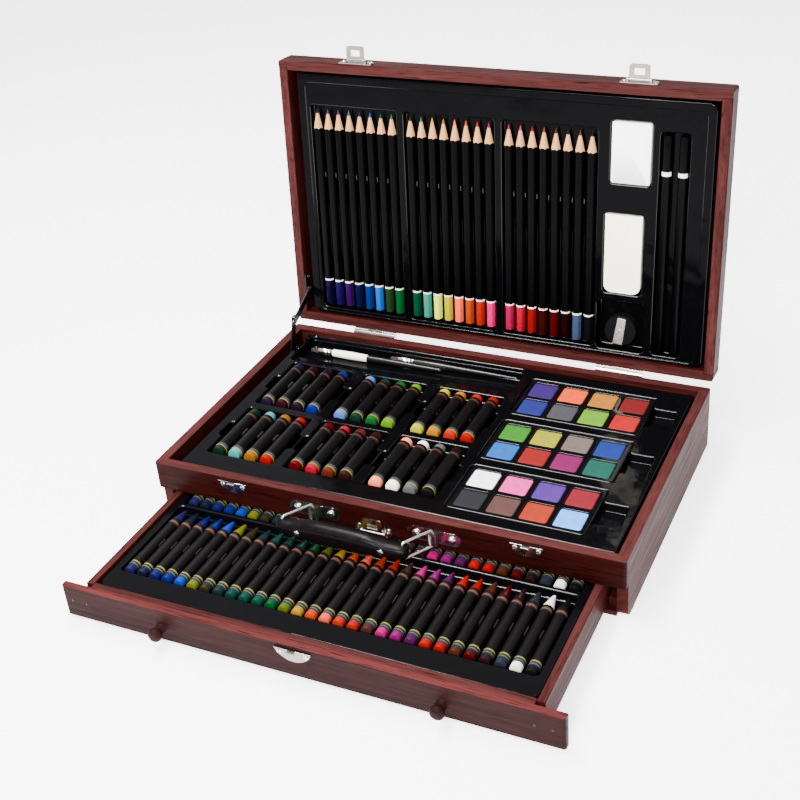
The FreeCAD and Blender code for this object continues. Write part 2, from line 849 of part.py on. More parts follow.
def latch_flap():
    leaf = block(-flap_half_width, flap_half_width, -flap_thickness / 2, flap_thickness / 2, 0, flap_length)
    leaf = rounded(leaf, flap_corner, Y_AXIS, lambda p: p.z > flap_length - clear)
    lip_half = flap_half_width - flap_corner
    lip = block(-lip_half, lip_half, 0, flap_thickness / 2 + flap_lip,
                flap_length - flap_thickness, flap_length)
    barrel = rod(flap_barrel, V(-flap_half_width, 0, 0), V(flap_half_width, 0, 0))
    bore_end = flap_half_width + over
    bore = rod(latch_pin + running_clearance, V(-bore_end, 0, 0), V(bore_end, 0, 0))
    window = block(-flap_window_half, flap_window_half, -over, over, flap_window_start, flap_window_end)
    return joined([leaf, lip, barrel]).cut([bore, window])


def moved(shape, x, y, z):
    copy = shape.copy()
    copy.translate(V(x, y, z))
    return copy


drawer_latch = moved(latch_base(), 0, front_y, drawer_latch_z - latch_pivot_up)
save("drawer_latch_base", [drawer_latch.cut([screw_hole(p, outwards) for p in drawer_latch_screw_places])])
save("drawer_flap", [moved(latch_flap(), 0, front_y - latch_pivot_out, drawer_latch_z)])


# Hinges: leaves on the backs of case and lid, with knuckles about one pin
def knuckle_ranges(x, middle):
    if middle:
        return [(x - hinge_mid_half, x + hinge_mid_half)]
    inner = hinge_mid_half + knuckle_gap
    return [(x - hinge_width / 2, x - inner), (x + inner, x + hinge_width / 2)]


def case_hinge_leaf(x):
    parts = [block(x - hinge_width / 2, x + hinge_width / 2, half_d, half_d + hinge_leaf_thickness,
                   hinge_z - hinge_leaf_height, hinge_z)]
    for x0, x1 in knuckle_ranges(x, False):
        parts.append(rod(hinge_barrel, V(x0, hinge_y, hinge_z), V(x1, hinge_y, hinge_z)))
        parts.append(block(x0, x1, half_d, hinge_y, hinge_z - hinge_barrel, hinge_z))
    room = rod(hinge_barrel + clear, V(x - hinge_mid_half - knuckle_gap, hinge_y, hinge_z),
               V(x + hinge_mid_half + knuckle_gap, hinge_y, hinge_z))
    mid = block(x - hinge_mid_half - knuckle_gap, x + hinge_mid_half + knuckle_gap, half_d,
                half_d + hinge_leaf_thickness, hinge_z - clear, hinge_z)
    bore = rod(hinge_pin, V(x - hinge_width, hinge_y, hinge_z), V(x + hinge_width, hinge_y, hinge_z))
    holes = [screw_hole(p, backwards) for p in case_hinge_screw_places if p.x * x > 0]
    return joined(parts).cut([room, mid, bore] + holes)


def lid_hinge_leaf(x):
    axis_y = case_height + lid_gap - hinge_z
    reach = hinge_behind
    leaf = block(x - hinge_width / 2, x + hinge_width / 2, 0, hinge_leaf_height, -hinge_leaf_thickness, 0)
    parts = [leaf]
    for x0, x1 in knuckle_ranges(x, True):
        parts.append(rod(hinge_barrel, V(x0, -axis_y, -reach), V(x1, -axis_y, -reach)))
        parts.append(block(x0, x1, -axis_y, hinge_barrel - axis_y + hinge_leaf_thickness, -reach, -clear))
    cuts = []
    for x0, x1 in knuckle_ranges(x, False):
        cuts.append(rod(hinge_barrel + clear, V(x0 - knuckle_gap, -axis_y, -reach),
                        V(x1 + knuckle_gap, -axis_y, -reach)))
    cuts.append(rod(hinge_pin + running_clearance, V(x - hinge_width, -axis_y, -reach),
                    V(x + hinge_width, -axis_y, -reach)))
    return joined(parts).cut(cuts)


hinge_centres = (-hinge_centre, hinge_centre)
save("case_hinge_leaves", [case_hinge_leaf(x) for x in hinge_centres])
pin_half = hinge_width / 2
save("hinge_pins", [rod(hinge_pin, V(x - pin_half, hinge_y, hinge_z), V(x + pin_half, hinge_y, hinge_z))
                    for x in hinge_centres])
lid_leaf_holes = [screw_hole(p, V(0, 0, -1)) for p in lid_hinge_screw_places]
save("lid_hinge_leaves", [on_lid(lid_hinge_leaf(x).cut(lid_leaf_holes)) for x in hinge_centres])


# Handle brackets: a stadium plate with a bridge that the ring's bar turns in
def handle_bracket(x):
    straight = bracket_length / 2 - bracket_half_height
    h = bracket_half_height
    y = front_y
    z = bracket_z
    right = Part.Arc(V(x + straight, y, z + h), V(x + straight + h, y, z), V(x + straight, y, z - h))
    left = Part.Arc(V(x - straight, y, z - h), V(x - straight - h, y, z), V(x - straight, y, z + h))
    wire = Part.Wire([Part.makeLine(V(x - straight, y, z + h), V(x + straight, y, z + h)), right.toShape(),
                      Part.makeLine(V(x + straight, y, z - h), V(x - straight, y, z - h)),
                      left.toShape()])
    plate = Part.Face(wire).extrude(V(0, -bracket_thickness, 0))
    bridge = block(x - bridge_half_width, x + bridge_half_width, y - bridge_out, y, z - h, z + h)
    bridge = rounded(bridge, bridge_round, Z_AXIS, lambda p: p.y < y - clear)
    cuts = [rod(ring_wire + running_clearance, V(x, y - ring_axis_out, z - h - over),
                V(x, y - ring_axis_out, z + h + over))]
    for place in dome_places:
        if place.x * x > 0:
            cuts.append(dome_hole(place))
    return joined([plate, bridge]).cut(cuts)


save("handle_brackets", [handle_bracket(side * bracket_centre) for side in (-1, 1)])
shoulder_out, shoulder_up = dome_shoulder_shares
dome_profile = [(dome_radius, 0), (dome_radius, dome_height * dome_rim_share),
                (dome_radius * shoulder_out, dome_height * shoulder_up), (dome_shank, dome_height)]
dome_stem = [(dome_shank, -dome_shank_length), (dome_shank, dome_height / 2)]
bracket_screws = []
for place in dome_places:
    bracket_screws.append(joined([turned(dome_profile, place, outwards, dome_sides),
                                  turned(dome_stem, place, outwards, dome_sides)]))
save("bracket_screws", bracket_screws)


# Handle rings: round wire bent to a closed oblong, one upright in the bridge and one in the grip
def handle_ring():
    r = ring_corner
    reach = ring_half_height - r
    far = r - ring_length
    path = []
    for quarter, (y, z) in enumerate(((-r, reach), (far, reach), (far, -reach), (-r, -reach))):
        for step in range(ring_corner_steps + 1):
            turn = math.pi / 2 * (quarter + step / ring_corner_steps)
            path.append(V(0, y + r * math.cos(turn), z + r * math.sin(turn)))
    rims = []
    for i, here in enumerate(path):
        before = V(here - path[i - 1]).normalize()
        after = V(path[(i + 1) % len(path)] - here).normalize()
        out = V(0, before.z + after.z, -before.y - after.y)
        mitre = out / (1 + before.dot(after))
        rims.append([])
        for k in range(ring_sides):
            turn = math.pi * (2 * k + 1) / ring_sides
            rims[-1].append(here + mitre * ring_wire * math.cos(turn) + X_AXIS * ring_wire * math.sin(turn))
    return flat_sided(rims, closed=True)


def grip_station(x, half_height, half_thickness):
    corners = []
    for i in range(grip_sides):
        turn = math.pi * (2 * i + 1) / grip_sides
        corners.append(V(x, half_thickness * math.sin(turn), half_height * math.cos(turn)))
    return corners


ring_turn = math.radians(ring_rest_degrees)
grip_shift_x = -ring_length * math.sin(ring_turn)
grip_y = front_y - ring_axis_out - ring_length * math.cos(ring_turn)
for name, side in (("handle_ring_left", -1), ("handle_ring_right", 1)):
    ring = handle_ring()
    ring.rotate(V(0, 0, 0), Z_AXIS, -ring_rest_degrees)
    ring.translate(V(side * bracket_centre, front_y - ring_axis_out, bracket_z))
    save(name, [ring])


def handle_grip():
    half_length = bracket_centre + grip_end
    stations = [(half_length * x, grip_half_height * h, grip_half_thickness * t) for x, h, t in grip_shares]
    stations = [(-x, h, t) for x, h, t in stations] + stations[-2::-1]
    body = flat_sided([grip_station(x, h, t) for x, h, t in stations], halved=True)
    h = grip_half_height + over
    cuts = [rod(ring_wire + running_clearance, V(-bracket_centre, 0, -h), V(-bracket_centre, 0, h)),
            rod(ring_wire + clear, V(bracket_centre, 0, -h), V(bracket_centre, 0, h))]
    for side in (-1, 1):
        centre = V(side * rivet_offset, 0, 0)
        cuts.append(turned([(rivet_shank, -h), (rivet_shank, h)], centre, backwards, dome_sides))
        for face in (-1, 1):
            seat = [(rivet_head, rivet_seat), (rivet_head, h)]
            cuts.append(turned(seat, centre, backwards * face, dome_sides))
    return body.cut(cuts)


save("handle_grip", [moved(handle_grip(), grip_shift_x, grip_y, bracket_z)])
rivets = []
rivet_top = rivet_seat + rivet_head_height
for side in (-1, 1):
    centre = V(side * rivet_offset + grip_shift_x, grip_y, bracket_z)
    pieces = [turned([(rivet_shank, -rivet_top), (rivet_shank, rivet_top)], centre, backwards, dome_sides)]
    for face in (-1, 1):
        pieces.append(turned([(rivet_head, rivet_seat), (rivet_shank, rivet_top)], centre,
                             backwards * face, dome_sides))
    rivets.append(joined(pieces))
save("grip_rivets", rivets)

# Stay: two flat links in the gap beside the trays, folding forwards as the lid closes
stay_case_pivot = V(0, stay_case_y, stay_case_z)
stay_lid_pivot = point_on_lid(0, stay_lid_b, stay_lid_a)
span = stay_lid_pivot - stay_case_pivot
reach = (span.Length ** 2 + stay_lower_length ** 2 - stay_upper_length ** 2) / (span.Length * 2)
rise = math.sqrt(stay_lower_length ** 2 - reach ** 2)
along = V(span).normalize()
across = V(0, -along.z, along.y)
stay_knee = stay_case_pivot + along * reach + across * rise
wall_x = -inner_w


def link_shape(start, end, x, start_half, end_half):
    def disc(centre, radius):
        return rod(radius, V(x, centre.y, centre.z), V(x + stay_link_thickness, centre.y, centre.z))

    way = V(end - start).normalize()
    out = V(0, -way.z, way.y) * stay_half_width
    points = [start + out, end + out, end - out, start - out]
    bar = prism([V(x, p.y, p.z) for p in points], V(stay_link_thickness, 0, 0))
    return joined([bar, disc(start, start_half), disc(end, end_half)])


def stay_hole(centre, radius):
    x_end = upper_x + stay_link_thickness + over
    return rod(radius, V(wall_x - over, centre.y, centre.z), V(x_end, centre.y, centre.z))


def stay_pin_at(centre, x_end):
    shank = rod(stay_pin, V(wall_x, centre.y, centre.z), V(x_end, centre.y, centre.z))
    head = rod(stay_pin_head, V(x_end, centre.y, centre.z), V(x_end + stay_head_height, centre.y, centre.z))
    return shank, head


lower_x = wall_x + stay_lower_offset
upper_x = wall_x + stay_upper_offset
lower_link = link_shape(stay_case_pivot, stay_knee, lower_x, stay_half_width, stay_joint_half_width)
save("stay_lower_link", [lower_link.cut([stay_hole(stay_case_pivot, stay_pin + running_clearance),
                                         stay_hole(stay_knee, stay_loose_hole)])])
upper_link = link_shape(stay_knee, stay_lid_pivot, upper_x, stay_half_width, stay_half_width)
knee_rivet = rod(stay_pin, V(lower_x - clear, stay_knee.y, stay_knee.z), V(upper_x, stay_knee.y, stay_knee.z))
knee_head = rod(stay_pin_head, V(upper_x + stay_link_thickness, stay_knee.y, stay_knee.z),
                V(upper_x + stay_link_thickness + stay_head_height / 2, stay_knee.y, stay_knee.z))
save("stay_upper_link", [joined([upper_link.cut(stay_hole(stay_lid_pivot, stay_pin + running_clearance)),
                                 knee_rivet, knee_head])])


def stay_plate(pivot_y, pivot_z, tail_y, tail_z):
    x0 = wall_x
    x1 = wall_x + stay_plate_thickness
    low_y, high_y = sorted((pivot_y, tail_y))
    low_z, high_z = sorted((pivot_z, tail_z))
    t = stay_half_width
    return rounded(block(x0, x1, low_y - t, high_y + t, low_z - t, high_z + t), edge_round, X_AXIS)


case_plate = stay_plate(stay_case_y, stay_case_z, stay_case_screw_place.y, stay_case_screw_place.z)
shank, head = stay_pin_at(stay_case_pivot, lower_x + stay_link_thickness + running_clearance)
case_plate = case_plate.cut(screw_hole(stay_case_screw_place, inwards))
save("stay_case_plate", [joined([case_plate, shank, head])])

lid_plate = stay_plate(stay_lid_b, stay_lid_a, stay_lid_screw_place.y, stay_lid_screw_place.z)
lid_pivot_flat = V(0, stay_lid_b, stay_lid_a)
shank, head = stay_pin_at(lid_pivot_flat, upper_x + stay_link_thickness + running_clearance)
spacer = rod(stay_pin_head, V(wall_x, lid_pivot_flat.y, lid_pivot_flat.z),
             V(upper_x - running_clearance, lid_pivot_flat.y, lid_pivot_flat.z))
lid_plate = lid_plate.cut(screw_hole(stay_lid_screw_place, inwards))
save("stay_lid_plate", [on_lid(joined([lid_plate, spacer, shank, head]))])


# Lid: rails around a panel let into their outer edge
def lid_rail_long(high):
    a0 = lid_length - wall if high else 0
    a1 = a0 + wall
    outer = lid_length if high else 0
    rail = block(-half_w, half_w, 0, lid_depth, a0, a1)
    rail = rounded(rail, edge_round, Y_AXIS, lambda p: abs(p.z - outer) < clear)
    inner_a = (a0, outer - joint_tongue) if high else (outer + joint_tongue, a1)
    low, top = inner_a
    cuts = []
    for side in (-1, 1):
        x0, x1 = sorted((side * inner_w, side * (half_w + over)))
        cut_low = low - over if high else low
        cut_top = top if high else top + over
        cuts.append(block(x0, x1, -over, lid_depth + over, cut_low, cut_top))
    p0 = a0 - over if high else panel_rabbet
    p1 = lid_length - panel_rabbet if high else a1 + over
    cuts.append(block(-inner_w, inner_w, lid_depth - panel_thickness, lid_depth + over, p0, p1))
    return rail.cut(cuts)


def lid_rail_side(side):
    x0, x1 = sorted((side * inner_w, side * half_w))
    rail = block(x0, x1, 0, lid_depth, joint_tongue, lid_length - joint_tongue)
    r0, r1 = sorted((side * (inner_w - over), side * (half_w - panel_rabbet)))
    return rail.cut(block(r0, r1, lid_depth - panel_thickness, lid_depth + over, 0, lid_length))


front_rail = lid_rail_long(True)
front_rail = front_rail.cut([screw_hole(p, V(0, 0, 1)) for p in lid_latch_screw_places])
back_rail = lid_rail_long(False)
back_rail = back_rail.cut([screw_hole(p, V(0, 0, -1)) for p in lid_hinge_screw_places])
left_rail = lid_rail_side(-1).cut(screw_hole(stay_lid_screw_place, inwards))
save("lid_front_rail", [on_lid(front_rail)])
save("lid_back_rail", [on_lid(back_rail)])
save("lid_left_rail", [on_lid(left_rail)])
save("lid_right_rail", [on_lid(lid_rail_side(1))])
panel_x = half_w - panel_rabbet
lid_floor = lid_depth - panel_thickness
panel = joined([
    block(-inner_w, inner_w, lid_floor, lid_depth, panel_rabbet, lid_length - panel_rabbet),
    block(-panel_x, panel_x, lid_floor, lid_depth, joint_tongue, lid_length - joint_tongue)])
save("lid_panel", [on_lid(panel)])

# Latch bases and flaps on the lid's free edge
lid_bases = []
for side in (-1, 1):
    base = latch_base()
    base.rotate(V(0, 0, 0), V(1, 0, 0), -90)
    base = moved(base, side * catch_centre, 0, lid_length)
    own = [screw_hole(p, V(0, 0, 1)) for p in lid_latch_screw_places if p.x * side > 0]
    lid_bases.append(on_lid(base.cut(own)))
save("lid_latch_bases", lid_bases)
for name, side in (("lid_flap_left", -1), ("lid_flap_right", 1)):
    flap = moved(latch_flap(), side * catch_centre, latch_pivot_up, lid_length + latch_pivot_out)
    save(name, [on_lid(flap)])


# Lid tray, drawn flat with its top up, then stood in the lid
def flat_in_lid(shape):
    stood = shape.copy()
    stood.rotate(V(0, 0, 0), V(1, 0, 0), 90)
    return on_lid(stood)


def eraser_outline(inset, width, low, length):
    x = lid_tray_right - inset
    return x - width / 2, x + width / 2, low, low + length


white_eraser = eraser_outline(white_eraser_inset, white_eraser_width, white_eraser_low, white_eraser_length)
cream_eraser = eraser_outline(cream_eraser_inset, cream_eraser_width, cream_eraser_low, cream_eraser_length)


def lid_tray():
    pockets = []
    floor = -(pencil_axis_b + pencil_radius)
    a0 = pencil_low - pencil_end_gap
    a1 = pencil_high + pencil_end_gap
    for group in range(pencil_groups):
        x0 = pencil_first_x + pencil_group_pitch * group - pencil_reach
        pockets.append((x0, x0 + pencil_group_width, a0, a1, floor))
    last = drawing_pencil_x + drawing_pencil_pitch * (drawing_pencil_count - 1)
    pockets.append((drawing_pencil_x - pencil_reach, last + pencil_reach, a0, a1 + item_gap, floor))
    for x0, x1, e0, e1 in (white_eraser, cream_eraser):
        g = item_gap
        pockets.append((x0 - g, x1 + g, e0 - g, e1 + g, -(eraser_b + eraser_thickness)))
    well_low = lid_tray_low + well_low_inset
    pockets.append((sharpener_x - well_half_x, sharpener_x + well_half_x, well_low, well_low + well_length,
                    -(sharpener_b + sharpener_height)))
    tray = formed_tray((lid_tray_left, lid_tray_right, lid_tray_low, lid_tray_high), -lid_tray_depth,
                       -lid_floor, pockets)
    ridges = []
    for group in range(pencil_groups):
        for line in range(ridge_count):
            a = pencil_low + ridge_first + ridge_step * line
            for gap in range(pencils_in_group - 1):
                x = pencil_first_x + pencil_group_pitch * group + pencil_pitch * gap + pencil_pitch / 2
                w = pencil_pitch / 2 - pencil_corner - clear
                ridges.append(block(x - w, x + w, a - ridge_length / 2, a + ridge_length / 2,
                                    floor - tray_sheet / 2, -pencil_axis_b))
    return tray.fuse(ridges)


save("lid_tray", [flat_in_lid(lid_tray())])


# Coloured pencils: six-sided barrels with a sharpened cone and a lead
def pencil(x):
    axis = V(x, 0, -pencil_axis_b)
    barrel = turned([(pencil_corner, pencil_low), (pencil_corner, pencil_high)], axis, Y_AXIS, pencil_sides)
    wide = pencil_corner + over
    spread = (wide - pencil_lead / 2) / (pencil_corner - pencil_lead / 2)
    point = turned([(wide, 0), (wide, pencil_high - pencil_cone * spread), (pencil_lead / 2, pencil_high)],
                   axis, Y_AXIS, stick_sides)
    return barrel.common(point)


pencils = []
for group in range(pencil_groups):
    for place in range(pencils_in_group):
        x = pencil_first_x + pencil_group_pitch * group + pencil_pitch * place
        pencils.append(flat_in_lid(pencil(x)))
save("coloured_pencils", pencils)
drawing_pencils = []
for place in range(drawing_pencil_count):
    x = drawing_pencil_x + drawing_pencil_pitch * place
    profile = [(pencil_radius, drawing_pencil_low), (pencil_radius, drawing_pencil_high)]
    drawing_pencils.append(flat_in_lid(turned(profile, V(x, 0, -pencil_axis_b), Y_AXIS, stick_sides)))
save("drawing_pencils", drawing_pencils)


# Erasers
def eraser(outline):
    x0, x1, a0, a1 = outline
    return block(x0, x1, a0, a1, -(eraser_b + eraser_thickness), -eraser_b)


cream = eraser(cream_eraser)
cream = rounded(cream, cream_corner, Z_AXIS, lambda p: p.y < cream_eraser[2] + clear)
save("eraser_white", [flat_in_lid(rounded(eraser(white_eraser), eraser_round, Z_AXIS))])
save("eraser_cream", [flat_in_lid(cream)])

# Sharpener: a round case with a slot across it, and the metal sharpener in the slot
sharpener_top = -sharpener_b
sharpener_low = sharpener_top - sharpener_height
block_half = sharpener_block_half
block_long = sharpener_block_reach
case_body = rod(sharpener_radius, V(0, 0, sharpener_low), V(0, 0, sharpener_top))
slot = block(-block_half, block_half, -block_long, block_long, sharpener_top - sharpener_slot_depth,
             sharpener_top + over)
metal = prism([V(-block_half, -block_long, 0), V(block_half, -block_long, 0),
               V(sharpener_block_end, block_long, 0), V(-sharpener_block_end, block_long, 0)],
              V(0, 0, sharpener_block_height))
metal.translate(V(0, 0, sharpener_top - sharpener_slot_depth))
metal_top = sharpener_top - sharpener_slot_depth + sharpener_block_height
stud = rod(sharpener_screw_radius, V(0, 0, metal_top - sharpener_screw_height),
           V(0, 0, metal_top + sharpener_screw_height))
metal = joined([metal, stud])
for name, piece in (("sharpener_case", case_body.cut(slot)), ("sharpener_blade", metal)):
    piece.rotate(V(0, 0, 0), V(0, 0, 1), -sharpener_tilt_degrees)
    piece.translate(V(sharpener_x, sharpener_a, 0))
    save(name, [flat_in_lid(piece)])

# Drawer boards
y0 = drawer_front_y
y1 = drawer_box_front_y
y2 = y1 + drawer_board
y_end = y1 + drawer_box_length
inner_half = drawer_box_half - drawer_board
groove_z = (drawer_bottom_z, drawer_bottom_z + drawer_bottom_thickness)
applied = block(-half_w, half_w, y0, y1, drawer_front_bottom, drawer_front_top)
applied = rounded(applied, edge_round, Z_AXIS, lambda p: p.y < y0 + clear)
drawer_cuts = [screw_hole(p, outwards) for p in drawer_catch_screw_places]
box_front = block(-inner_half, inner_half, y1, y2, drawer_box_bottom, drawer_box_top)
knob_cuts = []
for side in (-1, 1):
    x = side * knob_offset
    profile = [(knob_tenon, -knob_tenon_length), (knob_tenon, over)]
    knob_cuts.append(turned(profile, V(x, y0, knob_z), outwards, knob_sides))
save("drawer_front", [applied.cut(drawer_cuts + knob_cuts)])
groove_front = block(-inner_half - over, inner_half + over, y2 - drawer_groove, y2 + over,
                     groove_z[0], groove_z[1])
save("drawer_box_front", [box_front.cut([groove_front] + knob_cuts)])
bottom_half = inner_half + drawer_groove
for name, side in (("drawer_left_side", -1), ("drawer_right_side", 1)):
    x0, x1 = sorted((side * inner_half, side * drawer_box_half))
    board = block(x0, x1, y1, y_end, drawer_box_bottom, drawer_box_top)
    g0, g1 = sorted((side * (inner_half - over), side * bottom_half))
    groove = block(g0, g1, y2 - drawer_groove, y_end - drawer_board + drawer_groove,
                   groove_z[0], groove_z[1])
    notch = block(x0 - over, x1 + over, y1 - over, y1 + drawer_notch_depth,
                  drawer_box_top - drawer_notch_drop, drawer_box_top + over)
    save(name, [board.cut([groove, notch])])
back = block(-inner_half, inner_half, y_end - drawer_board, y_end, drawer_box_bottom, drawer_back_top)
groove_back = block(-inner_half - over, inner_half + over, y_end - drawer_board - over,
                    y_end - drawer_board + drawer_groove, groove_z[0], groove_z[1])
save("drawer_back", [back.cut(groove_back)])
save("drawer_bottom", [block(-bottom_half, bottom_half, y2 - drawer_groove,
                             y_end - drawer_board + drawer_groove, groove_z[0], groove_z[1])])


# Drawer tray and crayons
def drawer_tray():
    x0 = crayon_first_x - crayon_reach
    x1 = crayon_first_x + crayon_pitch * (crayons_in_row - 1) + crayon_reach
    floor = crayon_axis_z - crayon_radius
    pockets = []
    for start in (crayon_front_start, crayon_back_start):
        pockets.append((x0, x1, start - crayon_end_gap, start + crayon_length + crayon_end_gap, floor))
    g = drawer_tray_gap
    return formed_tray((-inner_half + g, inner_half - g, y2 + g, y_end - drawer_board - g), drawer_tray_top,
                       groove_z[1], pockets)


def crayon(x, start):
    shaft = crayon_length - crayon_cone
    profile = [(crayon_radius, 0), (crayon_radius, shaft), (crayon_tip_radius, crayon_length)]
    return turned(profile, V(x, start, crayon_axis_z), backwards, stick_sides)


save("drawer_tray", [drawer_tray()])
for name, start in (("crayons_front_row", crayon_front_start), ("crayons_back_row", crayon_back_start)):
    save(name, [crayon(crayon_first_x + crayon_pitch * i, start) for i in range(crayons_in_row)])


# Turned knobs with a tenon through the front
def knob(x):
    n = knob_neck
    h = knob_head
    t = knob_length
    shoulder, shoulder_up = knob_shoulder_shares
    seat = V(x, y0, knob_z)
    profile = [(n * knob_base_share, 0), (n, t * knob_neck_share), (h, t * knob_head_share),
               (h * shoulder, t * shoulder_up), (h * knob_crown_share, t)]
    tenon = [(knob_tenon, -knob_tenon_length), (knob_tenon, t / 2)]
    return joined([turned(profile, seat, outwards, knob_sides), turned(tenon, seat, outwards, knob_sides)])


save("drawer_knobs", [knob(side * knob_offset) for side in (-1, 1)])
save("drawer_catch", [catch_plate(0, y0, drawer_catch_top, drawer_catch_half_width,
                                  drawer_catch_screw_places)])

# Screws of each body
case_screws = [screw_solid(p, outwards) for p in catch_screw_places + drawer_latch_screw_places]
case_screws += [screw_solid(p, backwards) for p in case_hinge_screw_places]
case_screws.append(screw_solid(stay_case_screw_place, inwards))
save("case_screws", case_screws)
lid_screws = [on_lid(screw_solid(p, V(0, 0, 1))) for p in lid_latch_screw_places]
lid_screws += [on_lid(screw_solid(p, V(0, 0, -1))) for p in lid_hinge_screw_places]
lid_screws.append(on_lid(screw_solid(stay_lid_screw_place, inwards)))
save("lid_screws", lid_screws)
save("drawer_screws", [screw_solid(p, outwards) for p in drawer_catch_screw_places])
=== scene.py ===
import functools
import random
from math import cos, exp, hypot, pi, radians, sin, sqrt, tau
import bmesh
import bpy
from mathutils import Matrix, Vector
from mathutils.geometry import tessellate_polygon


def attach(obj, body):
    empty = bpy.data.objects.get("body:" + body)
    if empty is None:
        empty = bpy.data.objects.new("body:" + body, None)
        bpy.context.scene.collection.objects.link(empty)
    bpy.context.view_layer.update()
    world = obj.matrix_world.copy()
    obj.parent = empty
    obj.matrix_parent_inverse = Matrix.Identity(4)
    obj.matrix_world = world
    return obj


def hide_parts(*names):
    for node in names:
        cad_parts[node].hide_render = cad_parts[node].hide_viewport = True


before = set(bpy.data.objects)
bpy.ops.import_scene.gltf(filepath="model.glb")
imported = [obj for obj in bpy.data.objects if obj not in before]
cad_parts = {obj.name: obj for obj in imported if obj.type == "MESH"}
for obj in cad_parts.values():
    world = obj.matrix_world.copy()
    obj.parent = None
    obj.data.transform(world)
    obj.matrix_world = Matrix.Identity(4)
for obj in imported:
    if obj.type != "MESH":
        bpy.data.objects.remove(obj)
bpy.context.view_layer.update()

MM = 0.001
QUARTER = pi / 2

# Sizes are in millimetres, with the origin at the middle of the case's underside.

# Case and lid
front_face = -117.0
back_face = 117.0
divider_top = 33.2
hinge_x = 111.5
hinge_z = 51.8
catch_x = 117.5
bracket_x = 48.0
bracket_z = 40.5
lid_lean = radians(4.45)
lid_foot = Vector((0, 122.183, 55.396))
lid_length = 234.0
lid_floor = -15.0

# How far the studio's light lifts a paint
studio_light = 4.2

# Trays
tray_top = 49.6
tray_skin = 0.8
tray_rim_round = 1.3
pastel_first = -151.8
pastel_pitch = 14.15
pastel_group_pitch = 68.2
pastel_radius = 5.3
pastel_tip_radius = 4.75
pastel_length = 61.5
pastel_rows = (-7.0, -83.0)
pastel_axis = 47.2
pastel_pocket_side = 7.9
pastel_pocket_end = 3.4
pastel_notch = (4.0, 20.0)
palette_x = 98.3
palette_rows = (65.75, 0.25, -65.25)
palette_size = (105.0, 55.0)
palette_z = (42.0, 49.2)
cake_pitch = (25.27, 26.0)
cake_side = 20.6
well_side = 21.6
well_floor = 45.2
pencil_first = -157.5
pencil_pitch = 9.8
pencil_group_pitch = 85.4
pencil_radius = 3.6
pencil_axis = -5.8
pencil_span = (17.9, 194.2)
pencil_cone = 17.0
drawing_pencil_x = (140.8, 153.4)
drawing_pencil_span = (16.5, 196.5)
crayon_first = -154.0
crayon_pitch = 10.6
crayon_count = 30
crayon_radius = 4.25
crayon_length = 77.0
crayon_cone = 13.0
crayon_rows = (-209.5, -123.6)
crayon_axis = 24.0

# Drawer
drawer_face = -243.4
knob_x = 106.0
knob_z = 13.5

# From the lid drawn flat, X across, Y to the free edge and Z out of the lid, to its place
lid_place = Matrix.Translation(lid_foot) @ Matrix((
    (1, 0, 0, 0),
    (0, sin(lid_lean), -cos(lid_lean), 0),
    (0, cos(lid_lean), sin(lid_lean), 0),
    (0, 0, 0, 1)))
up = Vector((0, 0, 1))
lid_up = lid_place.to_3x3() @ up


# Mesh making
weld_gap = 2e-6
facing_front = (0, -1, 0)
stood_up = Matrix.Rotation(QUARTER, 4, "X")
patterns = []


def shown(name, data):
    """A new object in the scene."""
    made = bpy.data.objects.new(name, data)
    bpy.context.scene.collection.objects.link(made)
    return made


def creased(mesh, angle):
    """Smooth shading, with creases where faces meet at more than the angle."""
    mesh.shade_smooth()
    mesh.set_sharp_from_angle(angle=radians(angle))


def finished(name, verts, faces, place=Matrix.Identity(4), smooth=32.0, mend=False):
    """A piece in millimetres, set in its place in metres, with creases only at sharp edges."""
    mesh = bpy.data.meshes.new(name)
    mesh.from_pydata([tuple(v) for v in verts], [], faces)
    mesh.transform(Matrix.Scale(MM, 4) @ place)
    if mend:
        work = bmesh.new()
        work.from_mesh(mesh)
        bmesh.ops.remove_doubles(work, verts=work.verts, dist=weld_gap)
        bmesh.ops.recalc_face_normals(work, faces=work.faces)
        work.to_mesh(mesh)
        work.free()
    creased(mesh, smooth)
    return shown(name, mesh)


def pattern(*shape, **settings):
    """A piece that is only set out in copies."""
    patterns.append(finished(*shape, **settings))
    return patterns[-1]


def settled(piece):
    """The piece with its modifiers made part of its mesh."""
    bpy.context.view_layer.update()
    graph = bpy.context.evaluated_depsgraph_get()
    mesh = bpy.data.meshes.new_from_object(piece.evaluated_get(graph))
    piece.modifiers.clear()
    piece.data = mesh
    return piece


def weighted(piece):
    """Flat faces keep flat shading right up to their rounded edges."""
    piece.modifiers.new("even", "WEIGHTED_NORMAL").keep_sharp = True
    return settled(piece)


def softened(node_name, name, width, least, segments=2, crease=35.0):
    """A CAD piece with its longer edges eased, as sandpaper or a press tool leaves them."""
    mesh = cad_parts[node_name].data.copy()
    work = bmesh.new()
    work.from_mesh(mesh)
    bmesh.ops.remove_doubles(work, verts=work.verts, dist=weld_gap)
    bmesh.ops.dissolve_limit(work, angle_limit=radians(1.0), verts=work.verts, edges=work.edges)
    weight = work.edges.layers.float.new("bevel_weight_edge")
    for edge in work.edges:
        if len(edge.link_faces) == 2 and edge.calc_length() > least * MM:
            edge[weight] = float(edge.calc_face_angle(0) > radians(crease))
    work.to_mesh(mesh)
    work.free()
    mesh.materials.clear()
    piece = shown(name, mesh)
    ease = piece.modifiers.new("ease", "BEVEL")
    ease.limit_method = "WEIGHT"
    ease.width = width * MM
    ease.segments = segments
    ease.use_clamp_overlap = True
    settled(piece)
    creased(piece.data, crease)
    return weighted(piece)


def clad(piece, *surfaces):
    for material in surfaces:
        piece.data.materials.append(material)
    return piece


